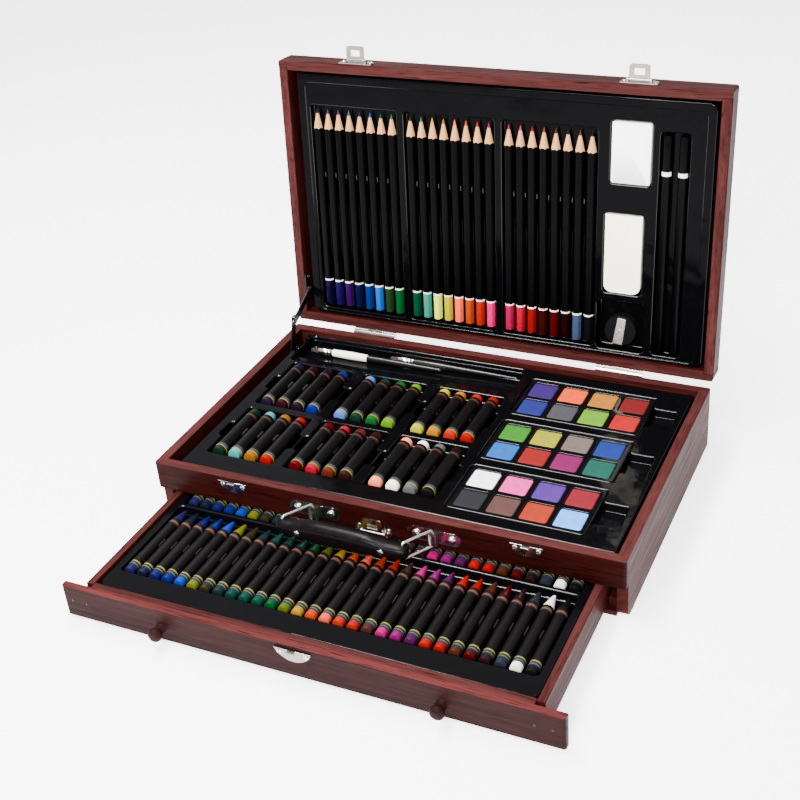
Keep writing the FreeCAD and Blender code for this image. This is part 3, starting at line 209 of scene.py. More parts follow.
def joined(name, pieces):
    """Several finished pieces of one body as one piece."""
    work = bmesh.new()
    materials = list(dict.fromkeys(m for piece in pieces for m in piece.data.materials))
    for piece in pieces:
        start = len(work.faces)
        work.from_mesh(piece.data)
        work.faces.ensure_lookup_table()
        for face in work.faces[start:]:
            face.material_index = materials.index(piece.data.materials[face.material_index])
    mesh = bpy.data.meshes.new(name)
    work.to_mesh(mesh)
    work.free()
    for piece in pieces:
        bpy.data.objects.remove(piece)
    return clad(shown(name, mesh), *materials)


def dressed(piece, surface, body, slot, *nodes):
    """The surface, the body it moves with and the CAD pieces it stands for; slot is not used."""
    if surface is not None:
        piece.data.materials.clear()
        clad(piece, surface)
    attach(piece, body)
    if nodes:
        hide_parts(*nodes)
    return piece


def add_ring(verts, points):
    """Adds the points and returns their numbers."""
    start = len(verts)
    verts.extend(points)
    return range(start, len(verts))


def rings_to_faces(rings, closed_ends=True, loop=False):
    """Four-sided faces from each ring to the next, with flat ends or closed into a loop."""
    count = len(rings[0])
    pairs = list(zip(rings, rings[1:]))
    if loop:
        pairs.append((rings[-1], rings[0]))
    faces = [(low[i], low[(i + 1) % count], high[(i + 1) % count], high[i])
             for low, high in pairs for i in range(count)]
    if closed_ends and not loop:
        faces += [tuple(reversed(rings[0])), tuple(rings[-1])]
    return faces


def lathe(profile, sides):
    """Points (radius, along) turned about Y, with flat ends."""
    verts = []
    turns = [tau * i / sides for i in range(sides)]
    rings = [add_ring(verts, [(radius * cos(turn), along, -radius * sin(turn)) for turn in turns])
             for radius, along in profile]
    return verts, rings_to_faces(rings)


def scaled(radius, *profile):
    """A profile whose widths are shares of the radius."""
    return [(radius * share, along) for share, along in profile]


def flowing(points, steps):
    """Points on a smooth line through the given ones."""
    line = []
    for i in range(len(points) - 1):
        before = points[max(i - 1, 0)]
        a, b = points[i], points[i + 1]
        after = points[min(i + 2, len(points) - 1)]
        for k in range(steps):
            t = k / steps
            line.append(tuple(
                0.5 * (2 * a[c] + (b[c] - before[c]) * t
                       + (2 * before[c] - 5 * a[c] + 4 * b[c] - after[c]) * t * t
                       + (3 * a[c] - before[c] - 3 * b[c] + after[c]) * t ** 3)
                for c in range(len(a))))
    return line + [tuple(points[-1])]


# Formed sheet: outlines with rounded corners, drawn inwards ring by ring
def quarter(steps):
    """The cosines and sines of a quarter turn in even steps."""
    turns = [QUARTER * k / steps for k in range(steps + 1)]
    return [(cos(turn), sin(turn)) for turn in turns]


def outline(corners, radius, offset, steps=5):
    """Corners at right angles, rounded and moved outwards by the offset."""
    sharpest = 0.15
    ring = []
    count = len(corners)
    for i in range(count):
        before, here, after = (Vector(corners[(i + k) % count]) for k in (-1, 0, 1))
        way_in = (here - before).normalized()
        way_out = (after - here).normalized()
        out_in = Vector((way_in.y, -way_in.x))
        out_out = Vector((way_out.y, -way_out.x))
        side = 1 if way_in.cross(way_out) > 0 else -1
        bend = max(radius + offset * side, sharpest)
        corner = here + (out_in + out_out) * offset
        centre = corner - (out_in + out_out) * side * bend
        ring += [centre + (out_in * c + out_out * s) * side * bend for c, s in quarter(steps)]
    return ring


def rectangle(x0, x1, y0, y1):
    return [(x0, y0), (x1, y0), (x1, y1), (x0, y1)]


def pocket(corners, radius, floor, lip, foot, draft=0.08, inner=()):
    """A hollow: outline, corner radius, floor height, rounded lip and foot, leaning walls, hollows in it."""
    return corners, radius, floor, lip, foot, draft, inner


def eased_wall(top, floor, lip, foot, draft):
    """A pocket's wall as (offset, height): a rounded lip, a leaning wall and a rounded foot."""
    steps = 4
    lean = (top - lip - floor - foot) * draft
    wall = [(lip - lip * s, top - lip + lip * c) for c, s in quarter(steps)]
    return wall + [(-lean - foot + foot * c, floor + foot - foot * s) for c, s in quarter(steps)]


def under(wall, skin, out):
    """The same wall one skin away, on the sheet's hidden side."""
    moved = []
    for i, (offset, height) in enumerate(wall):
        before = wall[max(i - 1, 0)]
        after = wall[min(i + 1, len(wall) - 1)]
        run = Vector((after[0] - before[0], after[1] - before[1])).normalized()
        if i == 0 or (i == len(wall) - 1 and out > 0):
            run = Vector((-out, 0))
        moved.append((offset - run.y * out * skin, height + run.x * out * skin))
    return moved


def formed(edge, top, bottom, pockets, edge_radius, skin=tray_skin, lip=tray_rim_round):
    """A sheet formed into pockets, with a skirt down to its bottom; pockets may hold pockets."""
    verts, faces = [], []

    def walled(corners, radius, wall):
        rings = [add_ring(verts, [(p.x, p.y, height) for p in outline(corners, radius, offset)])
                 for offset, height in wall]
        faces.extend(rings_to_faces(rings, closed_ends=False))
        return rings

    def plate(loops):
        order = [i for loop in loops for i in loop]
        for triangle in tessellate_polygon([[Vector(verts[i]) for i in loop] for loop in loops]):
            faces.append(tuple(order[k] for k in triangle))

    def sink(hollow, height, thickness):
        corners, radius, floor, own_lip, foot, draft, inner = hollow
        wall = eased_wall(height, floor, own_lip, foot, draft)
        if thickness:
            wall = under(wall, thickness, 1)
        rings = walled(corners, radius, wall)
        plate([rings[-1]] + [sink(deeper, floor, thickness) for deeper in inner])
        return rings[0]

    hems = []
    for thickness in (0, skin) if skin else (0,):
        wall = [(-lip + lip * s, top - lip + lip * c) for c, s in quarter(4)] + [(0, bottom)]
        if thickness:
            wall = under(wall, thickness, -1)
            wall[0] = (wall[0][0], top - thickness)
            wall[-1] = (-thickness, bottom)
        rings = walled(edge, edge_radius, wall)
        plate([rings[0]] + [sink(hollow, top, thickness) for hollow in pockets])
        hems.append(rings[-1])
    if skin:
        faces.extend(rings_to_faces(hems, closed_ends=False))
    else:
        plate([hems[0]])
    return verts, faces


# Surfaces
def put(socket, value):
    """Gives a socket a value, or links it to the socket given."""
    if isinstance(value, bpy.types.NodeSocket):
        socket.id_data.links.new(value, socket)
    else:
        socket.default_value = (*value, 1) if socket.type == "RGBA" else value


def node(tree, kind, inputs=(), output=0, **settings):
    """A new node, set and linked; returns one of its outputs."""
    made = tree.nodes.new(kind)
    for key, value in settings.items():
        setattr(made, key, value)
    for key, value in dict(inputs).items():
        put(made.inputs[key], value)
    return made.outputs[output]


def maths(tree, operation, first, second):
    return node(tree, "ShaderNodeMath", {0: first, 1: second}, operation=operation)


def surface(name, colour, roughness, metallic=0.0, **sockets):
    """A material, its tree and its shader's inputs."""
    made = bpy.data.materials.new(name)
    made.use_nodes = True
    shader = made.node_tree.nodes["Principled BSDF"].inputs
    values = {"Base Color": colour, "Roughness": roughness, "Metallic": metallic, **sockets}
    for key, value in values.items():
        put(shader[key.replace("_", " ")], value)
    return made, made.node_tree, shader


def coated(made, shader, colour, roughness):
    put(shader["Base Color"], colour)
    put(shader["Roughness"], roughness)
    return made


def deeper(colour, share):
    return tuple(c * share for c in colour)


def speckle(tree, scale, detail, distortion=0.0, roughness=0.5, stretch=(1, 1, 1)):
    """Noise that keeps to the piece, drawn out along its short scales."""
    place = node(tree, "ShaderNodeTexCoord", output="Object")
    mapped = node(tree, "ShaderNodeMapping", {"Vector": place, "Scale": stretch})
    return node(tree, "ShaderNodeTexNoise", {"Vector": mapped, "Scale": scale, "Detail": detail,
                                             "Distortion": distortion, "Roughness": roughness}, "Fac")


def ramp(tree, factor, *stops):
    colours = node(tree, "ShaderNodeValToRGB", {"Fac": factor}, "Color")
    elements = colours.node.color_ramp.elements
    while len(elements) < len(stops):
        elements.new(0.5)
    for element, (position, colour) in zip(elements, stops):
        element.position = position
        element.color = (*colour, 1)
    return colours


def remapped(tree, value, low, high, to_low=0.0, to_high=1.0):
    return node(tree, "ShaderNodeMapRange", {"Value": value, "From Min": low, "From Max": high,
                                             "To Min": to_low, "To Max": to_high}, "Result")


def bumped(tree, shader, height, distance, strength=1.0, before=None):
    """Relief of the given height in millimetres, on top of earlier relief."""
    inputs = {"Height": height, "Distance": distance * MM, "Strength": strength}
    if before is not None:
        inputs["Normal"] = before
    normal = node(tree, "ShaderNodeBump", inputs, "Normal")
    put(shader["Normal"], normal)
    return normal


def blended(tree, factor, first, second, blend="MIX"):
    return node(tree, "ShaderNodeMix", {0: factor, 6: first, 7: second}, 2, data_type="RGBA",
                blend_type=blend)


def stained_wood(name, grain, dark, light, gloss=0.45, shine=0.02):
    """Open-pored wood under a reddish stain: long figure, darker pores and a satin surface."""
    made, tree, shader = surface(name, light, gloss, Specular_IOR_Level=shine)
    long, fine = (tuple(draw if axis == grain else 1.0 for axis in "XYZ") for draw in (0.06, 0.03))
    figure = speckle(tree, 55.0, 5.0, 0.8, 0.6, long)
    streaks = speckle(tree, 420.0, 3.0, 0.2, 0.7, fine)
    pores = remapped(tree, speckle(tree, 1500.0, 2.0, stretch=fine), 0.56, 0.68)
    middle = tuple((a + b) / 2 for a, b in zip(dark, light))
    body = ramp(tree, figure, (0.3, dark), (0.5, middle), (0.68, light))
    body = blended(tree, remapped(tree, streaks, 0.35, 0.65, 0.0, 0.40), body, deeper(dark, 0.55))
    body = blended(tree, pores, body, deeper(dark, 0.3))
    first = bumped(tree, shader, pores, -0.05, 0.6)
    bumped(tree, shader, streaks, 0.04, 0.5, first)
    return coated(made, shader, body, remapped(tree, streaks, 0.3, 0.7, gloss - 0.08, gloss + 0.14))


def mottled(name, colour, roughness, spread=0.25, scale=60.0, bump=0.02, bump_scale=400.0, **sockets):
    """A made finish with slight clouding in its colour and gloss and a fine surface."""
    made, tree, shader = surface(name, colour, roughness, **sockets)
    cloud = speckle(tree, scale, 4.0, 0.3)
    high = tuple(min(c * (1 + spread), 1) for c in colour)
    bumped(tree, shader, speckle(tree, bump_scale, 2.0), bump)
    return coated(made, shader, ramp(tree, cloud, (0.3, deeper(colour, 1 - spread)), (0.7, high)),
                  remapped(tree, cloud, 0.3, 0.7, roughness - 0.08, roughness + 0.08))


def black_sheet(name, colour, roughness, waviness, shine=0.05):
    """Glossy formed plastic: slow waves in the sheet and fine dust."""
    made, tree, shader = surface(name, colour, roughness, Specular_IOR_Level=shine)
    wave = speckle(tree, 22.0, 2.0, 0.6)
    fine = speckle(tree, 240.0, 3.0)
    dust = remapped(tree, speckle(tree, 1300.0, 1.0), 0.70, 0.77, 0.0, 0.25)
    first = bumped(tree, shader, wave, waviness)
    bumped(tree, shader, fine, 0.015, 0.6, first)
    return coated(made, shader, blended(tree, dust, colour, (0.012, 0.012, 0.013)),
                  remapped(tree, fine, 0.3, 0.7, roughness - 0.04, roughness + 0.07))


def banded(name, roughness, spread, bump, bump_scale, **sockets):
    """Takes each band's colour from the piece, with slight clouding and a fine surface."""
    made, tree, shader = surface(name, (0.5, 0.5, 0.5), roughness, **sockets)
    tint = node(tree, "ShaderNodeAttribute", (), "Color", attribute_name="tint")
    gloss = node(tree, "ShaderNodeAttribute", (), "Fac", attribute_name="gloss")
    cloud = speckle(tree, 260.0, 4.0, 0.2)
    shade = ramp(tree, cloud, (0.3, (1 - spread,) * 3), (0.7, (1, 1, 1)))
    bumped(tree, shader, speckle(tree, bump_scale, 3.0), bump)
    return coated(made, shader, blended(tree, 1.0, tint, shade, "MULTIPLY"), gloss)


def brushed(name, colour, roughness, stretch=(1, 1, 1)):
    """Rolled metal with fine lines along it and slight clouding."""
    made, tree, shader = surface(name, colour, roughness, 1.0)
    lines = speckle(tree, 900.0, 3.0, stretch=stretch)
    cloud = speckle(tree, 90.0, 3.0)
    bumped(tree, shader, lines, 0.0001)
    return coated(made, shader, ramp(tree, cloud, (0.35, deeper(colour, 0.8)), (0.65, colour)),
                  remapped(tree, lines, 0.3, 0.7, roughness * 0.8, roughness * 1.3))


def woods(title, dark, light):
    """The same wood with its grain along each axis."""
    return (stained_wood(title + " along " + axis.lower(), axis, dark, light) for axis in "XYZ")


wood_x, wood_y, wood_z = woods("stained wood", (0.011, 0.0016, 0.0012), (0.044, 0.0078, 0.0062))
# Paler copies of the wood for the faces that face up: painted light and sheen from above.
lit_top_x, lit_top_y, lit_top_z = woods("painted top light", (0.021, 0.0046, 0.0042), (0.060, 0.0165, 0.0150))
# A darker copy of the wood for the case's front board: painted shade.
shaded_case_front = stained_wood("case front with painted shade", "X", (0.007, 0.0008, 0.0006), (0.021, 0.0028, 0.0021))
# A brighter red copy of the drawer front's wood for its top edge: painted light.
lit_edge_x = stained_wood("drawer edge with painted light", "X", (0.030, 0.0056, 0.0052), (0.090, 0.0195, 0.0185))
wood_face = stained_wood("stained drawer front", "X", (0.0075, 0.0022, 0.0021),
                         (0.0175, 0.0052, 0.0051), 0.5, 0.03)
board_x = stained_wood("stained board", "X", (0.011, 0.0016, 0.0012), (0.036, 0.0068, 0.0050), 0.5, 0.03)
tray_black = black_sheet("tray plastic", (0.0011, 0.0011, 0.0014), 0.12, 1.3)
lip_black = black_sheet("tray lip", (0.0011, 0.0011, 0.0014), 0.12, 0.6, 0.24)
lid_black = black_sheet("lid tray plastic", (0.0008, 0.0008, 0.0010), 0.10, 1.6, 0.02)
palette_black = black_sheet("palette plastic", (0.0018, 0.0018, 0.0021), 0.08, 0.35)
sharpener_black = black_sheet("sharpener plastic", (0.003, 0.003, 0.0035), 0.25, 0.05)
# The same nickel plating made darker for the lid latches, their flaps and the drawer catch: painted shade.
shaded_nickel = brushed("nickel with painted shade", (0.21, 0.195, 0.18), 0.15)
nickel = brushed("nickel plate", (0.56, 0.54, 0.51), 0.17)
block_metal = brushed("aluminium block", (0.74, 0.73, 0.70), 0.3, (1, 0.2, 1))
black_steel = mottled("blackened steel", (0.003, 0.003, 0.0033), 0.34, bump=0.01, Metallic=0.2,
                      Specular_IOR_Level=0.2)
grip_vinyl = mottled("grip vinyl", (0.0022, 0.0013, 0.0017), 0.30, 0.2, 150.0, 0.04, 900.0,
                     Specular_IOR_Level=0.05)
white_rubber = mottled("white rubber", (0.95, 0.94, 0.94), 0.7, 0.02, 60.0, 0.05, 700.0,
                       Specular_IOR_Level=0.1)
cream_rubber = mottled("cream rubber", (0.94, 0.90, 0.74), 0.75, 0.03, 60.0, 0.07, 600.0,
                       Specular_IOR_Level=0.1)
hair_brown = mottled("brush hair", (0.030, 0.016, 0.009), 0.55, 0.5, 900.0)
stick_paint = banded("stick and wrapper", 0.5, 0.12, 0.03, 700.0, Specular_IOR_Level=0.07)
pencil_paint = banded("pencil lacquer and wood", 0.4, 0.10, 0.015, 500.0, Specular_IOR_Level=0.03)
cake_paint = banded("pressed paint", 0.8, 0.22, 0.10, 900.0, Specular_IOR_Level=0.2)
brush_paint = banded("brush lacquer", 0.2, 0.06, 0.01, 300.0, Specular_IOR_Level=0.25)


# Points in rows, and a shape set on each
def new_tree(name, **inputs):
    """A node group that sets out a shape; returns it and the values given to it."""
    tree = bpy.data.node_groups.new(name, "GeometryNodeTree")
    for title, kind in {"Geometry": "Geometry", "Shape": "Object", "Surface": "Material", **inputs}.items():
        tree.interface.new_socket(title, in_out="INPUT", socket_type="NodeSocket" + kind)
    tree.interface.new_socket("Geometry", in_out="OUTPUT", socket_type="NodeSocketGeometry")
    return tree, tree.nodes.new("NodeGroupInput").outputs


def numbered_copies(tree, given, points, turn, **size):
    """The shape on each point, marked with the point's number, as one mesh with its surface."""
    index = node(tree, "GeometryNodeInputIndex")
    numbered = node(tree, "GeometryNodeStoreNamedAttribute",
                    {"Geometry": points, "Name": "number", "Value": index}, data_type="INT", domain="POINT")
    rotation = node(tree, "FunctionNodeEulerToRotation", {0: turn})
    shape = node(tree, "GeometryNodeObjectInfo", {"Object": given["Shape"]}, "Geometry")
    copies = node(tree, "GeometryNodeInstanceOnPoints",
                  {"Points": numbered, "Instance": shape, "Rotation": rotation, **size})
    real = node(tree, "GeometryNodeRealizeInstances", {"Geometry": copies})
    coloured = node(tree, "GeometryNodeSetMaterial", {"Geometry": real, "Material": given["Surface"]})
    put(tree.nodes.new("NodeGroupOutput").inputs[0], coloured)
    return tree


def row_tree():
    """Shapes in groups along X, each turned about its own length."""
    tree, given = new_tree("sticks in groups", Count="Int", In_Group="Int", Pitch="Float",
                           Group_Pitch="Float", Start="Vector", Roll="Float", Seed="Int")
    index = node(tree, "GeometryNodeInputIndex")
    group = maths(tree, "FLOOR", maths(tree, "DIVIDE", index, given["In_Group"]), 0.0)
    place = maths(tree, "MODULO", index, given["In_Group"])
    across = maths(tree, "ADD", maths(tree, "MULTIPLY", place, given["Pitch"]),
                   maths(tree, "MULTIPLY", group, given["Group_Pitch"]))
    offset = node(tree, "ShaderNodeCombineXYZ", {"X": across})
    spot = node(tree, "ShaderNodeVectorMath", {0: given["Start"], 1: offset})
    points = node(tree, "GeometryNodePoints", {"Count": given["Count"], "Position": spot})
    draw = node(tree, "FunctionNodeRandomValue", {"Seed": given["Seed"], 0: (-0.5,) * 3, 1: (0.5,) * 3},
                data_type="FLOAT_VECTOR")
    limits = node(tree, "ShaderNodeCombineXYZ", {"Y": given["Roll"]})
    turn = node(tree, "ShaderNodeVectorMath", {0: draw, 1: limits}, operation="MULTIPLY")
    return numbered_copies(tree, given, points, turn)


def place_tree():
    """The shape set on each point of the given mesh, turned and sized as that point says."""
    tree, given = new_tree("set on points")
    points = node(tree, "GeometryNodeMeshToPoints", {"Mesh": given["Geometry"]})
    turn, size = (node(tree, "GeometryNodeInputNamedAttribute", {"Name": name}, data_type="FLOAT_VECTOR")
                  for name in ("turn", "size"))
    return numbered_copies(tree, given, points, turn, Scale=size)


rows = row_tree()
places = place_tree()


def grown(name, base, tree, **inputs):
    """Runs a tree on a mesh; the piece keeps the plain mesh it makes."""
    piece = shown(name, base)
    growth = piece.modifiers.new("growth", "NODES")
    growth.node_group = tree
    sockets = {item.name: item.identifier for item in tree.interface.items_tree if item.in_out == "INPUT"}
    for title, value in inputs.items():
        growth[sockets[title]] = value
    settled(piece).data.name = name
    return piece


def in_rows(name, shape, surface_used, count, in_group, pitch, group_pitch, start, place=None,
            roll=tau, seed=1):
    piece = grown(name, bpy.data.meshes.new(name + " bed"), rows, Shape=shape, Surface=surface_used,
                  Count=count, In_Group=in_group, Pitch=pitch * MM, Group_Pitch=group_pitch * MM,
                  Start=[c * MM for c in start], Roll=roll, Seed=seed)
    if place is not None:
        piece.data.transform(Matrix.Translation(place.translation * MM) @ place.to_3x3().to_4x4())
    return piece


def on_points(name, shape, surface_used, spots):
    """spots: (place, way it faces, spin, size), with the shape drawn facing +Z."""
    base = bpy.data.meshes.new(name + " bed")
    base.from_pydata([tuple(Vector(spot[0]) * MM) for spot in spots], [], [])
    turns = base.attributes.new("turn", "FLOAT_VECTOR", "POINT")
    sizes = base.attributes.new("size", "FLOAT_VECTOR", "POINT")
    for i, (_, facing, spin, size) in enumerate(spots):
        turn = Vector(facing).to_track_quat("Z", "Y").to_matrix() @ Matrix.Rotation(spin, 3, "Z")
        turns.data[i].vector = turn.to_euler()
        sizes.data[i].vector = (size, size, size)
    return grown(name, base, places, Shape=shape, Surface=surface_used)


def tinted(mesh, look):
    """Gives each face its colour and gloss; look(face) returns both."""
    tint = mesh.attributes.new("tint", "FLOAT_COLOR", "CORNER")
    gloss = mesh.attributes.new("gloss", "FLOAT", "FACE")
    for face in mesh.polygons:
        colour, shine = look(face)
        for corner in face.loop_indices:
            tint.data[corner].color = (*colour, 1)
        gloss.data[face.index].value = shine


def painted(piece, band_colours):
    """Gives each face the look of its band; band_colours(number, band) returns colour and gloss."""
    mesh = piece.data
    numbers = [0] * len(mesh.vertices)
    bands = [0] * len(mesh.polygons)
    mesh.attributes["number"].data.foreach_get("value", numbers)
    mesh.attributes["band"].data.foreach_get("value", bands)
    known = functools.cache(band_colours)
    tinted(mesh, lambda face: known(numbers[face.vertices[0]], bands[face.index]))
    return piece


def stick_pattern(name, profile, sides, bands):
    """A turned stick with its bands marked; bands holds (where it ends, band) along the stick."""
    shape = pattern(name, *lathe(profile, sides), smooth=40.0)
    marks = shape.data.attributes.new("band", "INT", "FACE")
    for face in shape.data.polygons:
        along = face.center.y / MM
        marks.data[face.index].value = next(band for end, band in bands if along < end)
    return shape


def paint(*seen):
    """The paint that shows as the given screen colour under this studio's light."""
    shares = [c / 255 for c in seen]
    grey = min(shares) / max(shares)
    light = [s ** 2.2 * (1 + 7 * s ** 8 * grey ** 1.3) for s in shares]
    haze = 0.06 * (1 - grey) * max(light)
    return tuple(min(max(v - haze, 0.001) / studio_light, 0.88) for v in light)


# Colours of the sticks as they show, left to right
pastel_back_colours = [
    (52, 34, 70), (66, 24, 40), (44, 26, 52), (38, 60, 170), (120, 170, 215), (30, 70, 52),
    (45, 130, 60), (140, 205, 40), (240, 235, 50), (240, 175, 40), (240, 80, 30), (215, 30, 35)]
pastel_front_colours = [
    (28, 62, 44), (110, 190, 190), (190, 130, 50), (205, 45, 35), (120, 25, 30), (215, 50, 80),
    (130, 60, 45), (62, 34, 28), (240, 190, 160), (238, 236, 228), (130, 130, 132), (30, 29, 31)]
crayon_colours = [
    (58, 52, 120), (42, 46, 78), (48, 50, 140), (46, 60, 170), (50, 110, 230), (160, 165, 55),
    (72, 66, 42), (38, 72, 68), (24, 96, 84), (28, 104, 84), (30, 110, 80), (22, 125, 62),
    (135, 155, 50), (240, 205, 45), (240, 120, 60), (245, 155, 115), (245, 95, 35), (238, 80, 40),
    (112, 62, 60), (230, 60, 165), (195, 40, 155), (118, 40, 110), (232, 55, 42), (222, 30, 30),
    (112, 62, 42), (115, 26, 32), (62, 36, 36), (62, 68, 80), (238, 236, 230), (32, 32, 34)]
pencil_ends = [
    (34, 20, 72), (48, 28, 104), (74, 22, 112), (28, 34, 84), (42, 76, 165), (70, 150, 230),
    (52, 84, 50), (22, 128, 66), (20, 108, 70), (92, 190, 178), (240, 245, 125), (250, 240, 40),
    (250, 165, 125), (245, 115, 30), (245, 80, 25), (250, 70, 170), (245, 15, 120), (230, 50, 90),
    (215, 10, 25), (80, 30, 20), (110, 32, 15), (50, 20, 18), (90, 110, 150), (30, 30, 32)]
pencil_leads = [
    (50, 45, 80), (110, 60, 140), (120, 60, 130), (110, 110, 120), (40, 50, 110), (60, 110, 190),
    (40, 90, 60), (60, 140, 70), (50, 60, 50), (50, 150, 150), (235, 205, 60), (190, 170, 50),
    (235, 150, 130), (235, 130, 45), (225, 80, 45), (200, 50, 110), (205, 50, 120), (225, 80, 110),
    (205, 45, 45), (170, 90, 50), (120, 70, 45), (60, 40, 35), (125, 80, 50), (40, 38, 40)]
cake_colours = [
    [(92, 52, 160), (62, 74, 180), (250, 145, 85), (112, 108, 116), (245, 190, 50), (170, 225, 60),
     (182, 40, 48), (245, 80, 40)],
    [(95, 195, 65), (70, 165, 235), (245, 240, 25), (220, 30, 45), (165, 150, 140), (200, 20, 140),
     (55, 90, 200), (20, 140, 120)],
    [(250, 238, 255), (50, 48, 60), (240, 120, 215), (140, 95, 85), (140, 80, 200), (245, 100, 30),
     (210, 40, 80), (160, 215, 240)]]
wrapper = paint(30, 27, 28)
wrapper_blue = paint(52, 66, 84)
wrapper_cream = paint(190, 182, 84)
wrapper_rose = paint(104, 66, 60)
wrapper_line = paint(150, 150, 120)
wood_cream = (0.42, 0.21, 0.085)
lacquer_black = paint(14, 14, 16)
lacquer_white = paint(232, 230, 226)


# Camera and light, as the photograph has them
camera_eye = Vector((0.37947, -0.79108, 0.61552))
camera_heading = 0.4779
camera_dip = 0.5496
camera_roll = 0.0894
camera_lens = 59.69


def set_camera():
    forward = Vector((-sin(camera_heading) * cos(camera_dip),
                      cos(camera_heading) * cos(camera_dip), -sin(camera_dip)))
    right = Vector((cos(camera_heading), sin(camera_heading), 0))
    down = forward.cross(right)
    across = right * cos(camera_roll) + down * sin(camera_roll)
    drop = down * cos(camera_roll) - right * sin(camera_roll)
    data = bpy.data.cameras.new("photo camera")
    data.lens = camera_lens
    data.sensor_width = 36.0
    data.clip_start = 0.01
    camera = shown("photo camera", data)
    turn = Matrix((across, -drop, -forward)).transposed().to_4x4()
    camera.matrix_world = Matrix.Translation(camera_eye) @ turn
    bpy.context.scene.camera = camera


def area_light(name, place, aim, size, power):
    data = bpy.data.lights.new(name, "AREA")
    data.shape = "RECTANGLE"
    data.size, data.size_y = size
    data.energy = power
    lamp = shown(name, data)
    lamp.location = place
    lamp.rotation_euler = (Vector(aim) - Vector(place)).to_track_quat("-Z", "Y").to_euler()


def set_light():
    world = bpy.data.worlds.new("studio")
    world.use_nodes = True
    bpy.context.scene.world = world
    tree = world.node_tree
    ground = tree.nodes["Background"].inputs
    way = node(tree, "ShaderNodeTexCoord", output="Generated")
    depth, height = node(tree, "ShaderNodeSeparateXYZ", {0: way}).node.outputs[1:]
    back = remapped(tree, depth, -0.6, 0.9, 0.7, 1.3)
    above = remapped(tree, height, -0.1, 0.8, 0.6, 1.4)
    horizon = remapped(tree, height, 0.03, 0.16, 3.6, 1.0)
    put(ground["Strength"], maths(tree, "MULTIPLY", maths(tree, "MULTIPLY", back, above), horizon))
    put(ground["Color"], (0.97, 0.98, 1.0))
    area_light("overhead", (-0.38, -0.10, 1.28), (0, 0, 0.08), (1.1, 0.30), 42.0)
    area_light("strip", (-0.38, -0.16, 1.25), (0, 0, 0.08), (1.2, 0.035), 20.0)
    area_light("front", (0.15, -1.6, 1.25), (0, 0.08, 0.16), (1.2, 0.6), 125.0)


def set_floor():
    half = 14.0 / MM
    ground = finished("floor", [(x, y, 0) for x, y in rectangle(-half, half, -half, half)], [(0, 1, 2, 3)])
    made, tree, shader = surface("pale paper", (0.93, 0.93, 0.94), 0.9, Emission_Color=(1, 1, 1),
                                 Emission_Strength=2.4, Specular_IOR_Level=0.1)
    cloud = speckle(tree, 3.0, 3.0)
    put(shader["Base Color"], ramp(tree, cloud, (0.3, (0.90, 0.90, 0.91)), (0.7, (0.95, 0.95, 0.96))))
    clad(ground, made)


# Wooden boards
def make_boards():
    """Boards eased at their edges, with painted light: a paler copy of the wood on the faces that face up,
    such as the rim and the drawer front's top edge.
    """
    flat_share = 0.95
    lit_tops = {wood_x: lit_top_x, wood_y: lit_top_y, wood_z: lit_top_z, shaded_case_front: lit_top_x, wood_face: lit_edge_x}
    for surface_used, body, names in (
            (shaded_case_front, "case", ("case_front_board",)), (wood_x, "case", ("case_back_board",)),
            (wood_y, "case", ("case_left_side", "case_right_side")),
            (wood_x, "lid", ("lid_front_rail", "lid_back_rail")),
            (wood_z, "lid", ("lid_left_rail", "lid_right_rail")), (wood_face, "drawer", ("drawer_front",)),
            (wood_x, "drawer", ("drawer_box_front",)),
            (wood_y, "drawer", ("drawer_left_side", "drawer_right_side")),
            (wood_x, "drawer", ("drawer_back",))):
        outward = lid_up if body == "lid" else up
        for name in names:
            board = softened(name, name + "_wood", width=0.55, least=5.0)
            dressed(board, surface_used, body, "stained_wood", name)
            clad(board, lit_tops[surface_used])
            # Faces turned up take the paler copy of their wood: painted light.
            for face in board.data.polygons:
                if face.normal.dot(outward) > flat_share:
                    face.material_index = 1


def dress_nodes():
    for name, surface_used in (
            ("case_divider", board_x), ("case_bottom", board_x), ("lid_panel", board_x),
            ("drawer_bottom", board_x), ("drawer_runners", wood_y), ("hinge_pins", nickel)):
        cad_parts[name].data.materials.clear()
        clad(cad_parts[name], surface_used)


# Formed trays
def ridge(half, half_length, height):
    """A small ridge between two sticks, rounded along its top and at its ends."""
    section = [(1.0, 0), (1.0, 0.75), (0.8, 0.9), (0.45, 0.98)]
    section += [(-x, z) for x, z in reversed(section)]
    ends = [(-1.0, 0.5, 0.55), (-0.92, 0.8, 0.85), (-0.8, 1.0, 1.0)]
    ends += [(-along, wide, tall) for along, wide, tall in reversed(ends)]
    verts = []
    rings = [add_ring(verts, [(x * half * wide, along * half_length, z * height * tall) for x, z in section])
             for along, wide, tall in ends]
    return verts, rings_to_faces(rings)


def ribs_between(size, surface_used, count, in_group, pitch, group_pitch, starts, place=None):
    """Ridges between the sticks, set out in the same rows; size: half width, half length, height."""
    rib = pattern("rib shape", *ridge(*size))
    return [in_rows("ribs", rib, surface_used, count, in_group, pitch, group_pitch, start, place, roll=0.0)
            for start in starts]


def sheet(name, shape, surface_used, place=Matrix.Identity(4)):
    """A formed sheet; its rounded lips are stretched thinner and glossier than its flats."""
    steepest, flattest = 0.25, 0.95
    out = place.to_3x3() @ up
    tray = clad(weighted(finished(name, *shape, place, mend=True)), surface_used, lip_black)
    for face in tray.data.polygons:
        if steepest < face.normal.dot(out) < flattest:
            face.material_index = 1
    return tray


